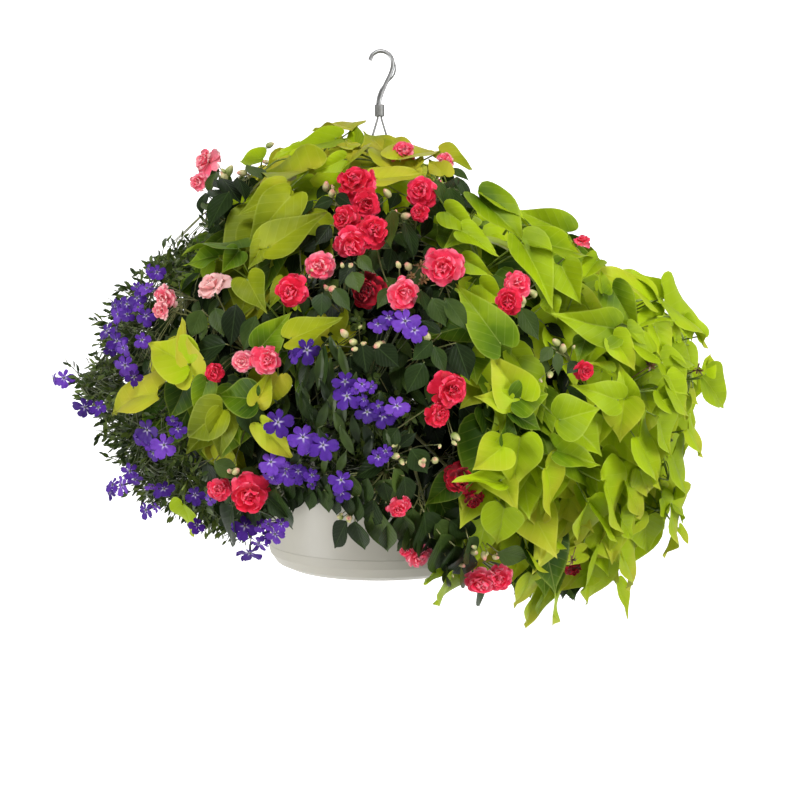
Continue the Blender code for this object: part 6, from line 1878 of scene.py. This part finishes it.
def violet_petal():
    """Blue-violet petal with a pale, streaked eye."""
    finish = Finish("violet_petal")
    along = finish.mark("along")
    aside = abs(finish.mark("across"))
    streaks = (aside * 46.0 + finish.noise(500.0) * 4.0).wave()
    ray = (along * 0.2 + aside).below(0.10, 0.06) * (along + streaks * 0.06).below(0.34, 0.12)
    eye = (along + aside * 0.8).below(0.14, 0.06)
    eye = eye.greater(ray * 0.7)
    tint = finish.mark("tint") * 0.7 + finish.noise(240.0) * 0.4
    colour = finish.ramp(tint, ((0.1, (48, 16, 104)), (0.55, (80, 34, 150)), (0.95, (120, 68, 190))))
    colour = finish.blend(eye * 0.85, colour, srgb(226, 216, 244))
    settings = {"Roughness": 0.55, "Specular IOR Level": 0.2, "Sheen Weight": 0.2}
    return thin_blade(finish, colour, colour, 0.25, settings)


def bud_skin():
    """Furled bud, cream to pink with green at its base."""
    finish = Finish("bud_skin")
    tint = finish.mark("tint")
    along = finish.mark("along")
    swirl = (along * 9.0 + finish.noise(160.0) * 6.0).wave()
    pale = tint * 0.55 + (1.0 - along) * 0.55 + swirl * 0.05
    colour = finish.ramp(pale, ((0.12, (204, 84, 96)), (0.34, (208, 146, 128)), (0.56, (192, 184, 132)),
                                (0.88, (124, 142, 70))))
    settings = {"Roughness": 0.5, "Specular IOR Level": 0.3, "Normal": finish.bump(swirl, 0.2, 0.0006)}
    return finish.close(finish.gloss(colour, settings))


def plastic(name, tone):
    """Moulded plastic with a faint satin grain and water marks."""
    finish = Finish(name)
    stains = finish.noise(16.0, 5.0)
    grain = finish.noise(900.0, 2.0)
    colour = finish.blend(stains * 0.5, tone, srgb(196, 191, 172))
    rough = finish.noise(60.0) * 0.12 + 0.40
    settings = {"Roughness": rough, "Specular IOR Level": 0.4, "Normal": finish.bump(grain, 0.12, 0.0003)}
    return finish.close(finish.gloss(colour, settings))


def compost():
    """Dark crumbly compost with paler flecks."""
    finish = Finish("compost")
    crumbs = finish.noise(240.0, 6.0)
    colour = finish.ramp(crumbs, ((0.3, (34, 24, 18)), (0.6, (66, 48, 34)), (0.72, (150, 132, 108))))
    settings = {"Roughness": 0.95, "Normal": finish.bump(crumbs, 1.0, 0.003)}
    return finish.close(finish.gloss(colour, settings))


def steel(name, tone, rough):
    """Metal with fine drawing marks and cloudy zinc."""
    finish = Finish(name)
    clouds = finish.noise(220.0, 3.0)
    colour = finish.blend(clouds, tone, srgb(116, 116, 114))
    settings = {"Metallic": 1.0, "Roughness": clouds * 0.15 + rough,
                "Normal": finish.bump(clouds, 0.1, 0.0003)}
    return finish.close(finish.gloss(colour, settings))


def studio_paper():
    """The pale floor and backdrop."""
    finish = Finish("studio_paper")
    fibres = finish.noise(30.0)
    colour = finish.blend(fibres * 0.1, srgb(208, 208, 208), srgb(200, 200, 200))
    behind = finish.node("ShaderNodeSeparateXYZ", {}, (finish.place(),), 1)
    aside = finish.node("ShaderNodeSeparateXYZ", {}, (finish.place(),), 0)
    wash = (1.0 - behind.below(1.0, 0.25)) * abs(aside).below(1.9, 0.5)
    far = 1.0 - abs(aside).below(2.8, 1.2) * (behind * -1.0).below(2.8, 1.2)
    distance = finish.blend(far, srgb(0, 0, 0), srgb(148, 148, 148))
    glow = finish.blend(wash, distance, srgb(255, 255, 255))
    settings = {"Roughness": 0.9, "Emission Color": glow, "Emission Strength": 0.9}
    return finish.close(finish.gloss(colour, settings))


finishes = {
    "lime_leaf": lime_leaf(),
    "impatiens_leaf": impatiens_leaf(),
    "lobelia_leaf": lobelia_leaf(),
    "lime_stem": stem("lime_stem", (96, 120, 34), (150, 170, 60)),
    "impatiens_stem": stem("impatiens_stem", (84, 96, 52), (132, 128, 78)),
    "lobelia_stem": stem("lobelia_stem", (58, 62, 36), (92, 104, 56)),
    "dry_husk": stem("dry_husk", (74, 50, 28), (140, 104, 62)),
    "violet_tube": stem("violet_tube", (70, 56, 96), (96, 110, 74)),
    "red_petal": red_petal(),
    "violet_petal": violet_petal(),
    "bud_skin": bud_skin(),
    "pot_plastic": plastic("pot_plastic", srgb(181, 178, 168)),
    "saucer_plastic": plastic("saucer_plastic", srgb(179, 176, 166)),
    "compost": compost(),
    "bright_steel": steel("bright_steel", srgb(186, 186, 186), 0.36),
    "galvanised_steel": steel("galvanised_steel", srgb(150, 150, 148), 0.50),
}

# Growing

# Each kind of plant: its leaf finish, its stem finish and its trunk's radius
LIME_PLANT = ("lime_leaf", "lime_stem", 0.0026)
IMPATIENS_PLANT = ("impatiens_leaf", "impatiens_stem", 0.0028)
LOBELIA_PLANT = ("lobelia_leaf", "lobelia_stem", 0.0016)

# Where the back of the mass begins, and how far out its front, its back and its inside lie
FRONT_LIMIT = 0.25
FRONT_SHARES = (0.82, 0.93)
BACK_SHARES = (0.88, 1.0)
INNER_SHARES = (0.56, 0.82)
INNER_SIZE = 1.1

sprays = []
growth = random.Random(SEED)
lime_bed = Bed(grow_plants(LIME_STEMS, LIME_PLANT))
dark_bed = Bed(grow_plants(IMPATIENS_STEMS, IMPATIENS_PLANT))
thin_bed = Bed(grow_plants(LOBELIA_STEMS, LOBELIA_PLANT))
grow_listed_leaves(lime_bed, LIME_LEAVES, "lime", growth)
grow_listed_leaves(dark_bed, IMPATIENS_LEAVES, "dark", growth)
grow_long_leaves(thin_bed, growth)
grow_shoots(thin_bed, growth)
grow_buds(dark_bed, growth)
grow_dried(Bed(lime_bed.plants + dark_bed.plants), growth)
grow_blooms(dark_bed, growth)
grow_violets(thin_bed, growth)
beds = {"lime": lime_bed, "dark": dark_bed, "thin": thin_bed}
grow_back_heads(beds, growth)
for way in even_directions(FILL_SPOTS):
    depth_share = growth.uniform(*(FRONT_SHARES if way[1] < FRONT_LIMIT else BACK_SHARES))
    grow_filler(beds, way, depth_share, 1.0, False, growth)
for way in even_directions(INNER_SPOTS):
    grow_filler(beds, way, growth.uniform(*INNER_SHARES), INNER_SIZE, True, growth)
grow_listed_leaves(lime_bed, LIME_EDGE_LEAVES, "lime", growth)
grow_listed_leaves(dark_bed, IMPATIENS_EDGE_LEAVES, "dark", growth)

for bed in beds.values():
    for plant in bed.plants:
        plant.piece.build()
for spray, slot in sprays:
    spray.build()
make_pot().build()
make_saucer().build()
make_soil().build()
make_hook().build()
for count, degrees in enumerate(WIRE_ANGLES):
    make_wire(count, degrees).build()

# Studio

BAND_TOP = 0.12
BAND_EASE = 0.20
BAND_LIGHT = 0.34
CEILING_LIGHT = 0.08
FLOOR_LEVEL = -2.4
SWEEP_START = 2.4
SWEEP_RADIUS = 1.8
SWEEP_STEPS = 12
FLOOR_NEAR = -9.0
FLOOR_HALF = 10.0
BACKDROP_TOP = 6.0

# Soft lamps: name, place, goal, size and power
LAMPS = (
    ("key", (-0.1, -2.8, 2.4), (0.0, 0.0, -0.3), 1.6, 133.0),
    ("left", (-2.7, -1.3, -1.2), (0.0, 0.0, -0.52), 1.2, 66.0),
    ("right", (3.0, -1.9, -0.1), (0.2, 0.0, -0.40), 1.6, 90.0),
)


def add_to_scene(item):
    """Link an object into the scene."""
    bpy.context.scene.collection.objects.link(item)
    return item


def make_backdrop():
    """A floor that sweeps up into the backdrop."""
    line = [(FLOOR_NEAR, FLOOR_LEVEL), (SWEEP_START, FLOOR_LEVEL)]
    for step in range(1, SWEEP_STEPS + 1):
        angle = 0.5 * math.pi * step / SWEEP_STEPS
        line.append((SWEEP_START + SWEEP_RADIUS * math.sin(angle),
                     FLOOR_LEVEL + SWEEP_RADIUS * (1.0 - math.cos(angle))))
    line.append((SWEEP_START + SWEEP_RADIUS, BACKDROP_TOP))
    points = [(x, y, z) for y, z in line for x in (-FLOOR_HALF, FLOOR_HALF)]
    faces = [(2 * step, 2 * step + 1, 2 * step + 3, 2 * step + 2) for step in range(len(line) - 1)]
    mesh = bpy.data.meshes.new("studio_sweep")
    mesh.from_pydata(points, [], faces)
    mesh.polygons.foreach_set("use_smooth", [True] * len(faces))
    mesh.materials.append(studio_paper())
    item = add_to_scene(bpy.data.objects.new("studio_sweep", mesh))


def add_light(name, spot, goal, size, power):
    """A soft square light that faces a goal."""
    lamp = bpy.data.lights.new(name, "AREA")
    lamp.size = size
    lamp.energy = power
    item = add_to_scene(bpy.data.objects.new(name, lamp))
    item.location = spot
    item.rotation_euler = (Vector(goal) - Vector(spot)).to_track_quat("-Z", "Y").to_euler()


def add_camera():
    """The camera, where the photo was taken from."""
    lens = bpy.data.cameras.new("photo_camera")
    lens.sensor_width = SENSOR_MM
    lens.lens = SENSOR_MM * FOCAL_PX / PHOTO_PX
    item = add_to_scene(bpy.data.objects.new("photo_camera", lens))
    item.location = EYE
    item.rotation_euler = (0.5 * math.pi - PITCH, 0.0, 0.0)
    bpy.context.scene.camera = item


def add_sky():
    """Pale light from all round: a bright band at eye height and a dim ceiling."""
    world = bpy.data.worlds.new("studio_light")
    world.use_nodes = True
    nodes = world.node_tree.nodes
    links = world.node_tree.links
    way = nodes.new("ShaderNodeTexCoord")
    parts = nodes.new("ShaderNodeSeparateXYZ")
    ramp = nodes.new("ShaderNodeValToRGB")
    ends = ((BAND_TOP, BAND_LIGHT), (BAND_TOP + BAND_EASE, CEILING_LIGHT))
    for element, (position, light) in zip(ramp.color_ramp.elements, ends):
        element.position = position
        element.color = (light, light, light, 1.0)
    links.new(way.outputs["Generated"], parts.inputs[0])
    links.new(parts.outputs["Z"], ramp.inputs[0])
    links.new(ramp.outputs["Color"], nodes["Background"].inputs["Color"])
    bpy.context.scene.world = world


make_backdrop()
for lamp_row in LAMPS:
    add_light(*lamp_row)
add_sky()
add_camera()
bpy.context.scene.view_settings.view_transform = "Standard"
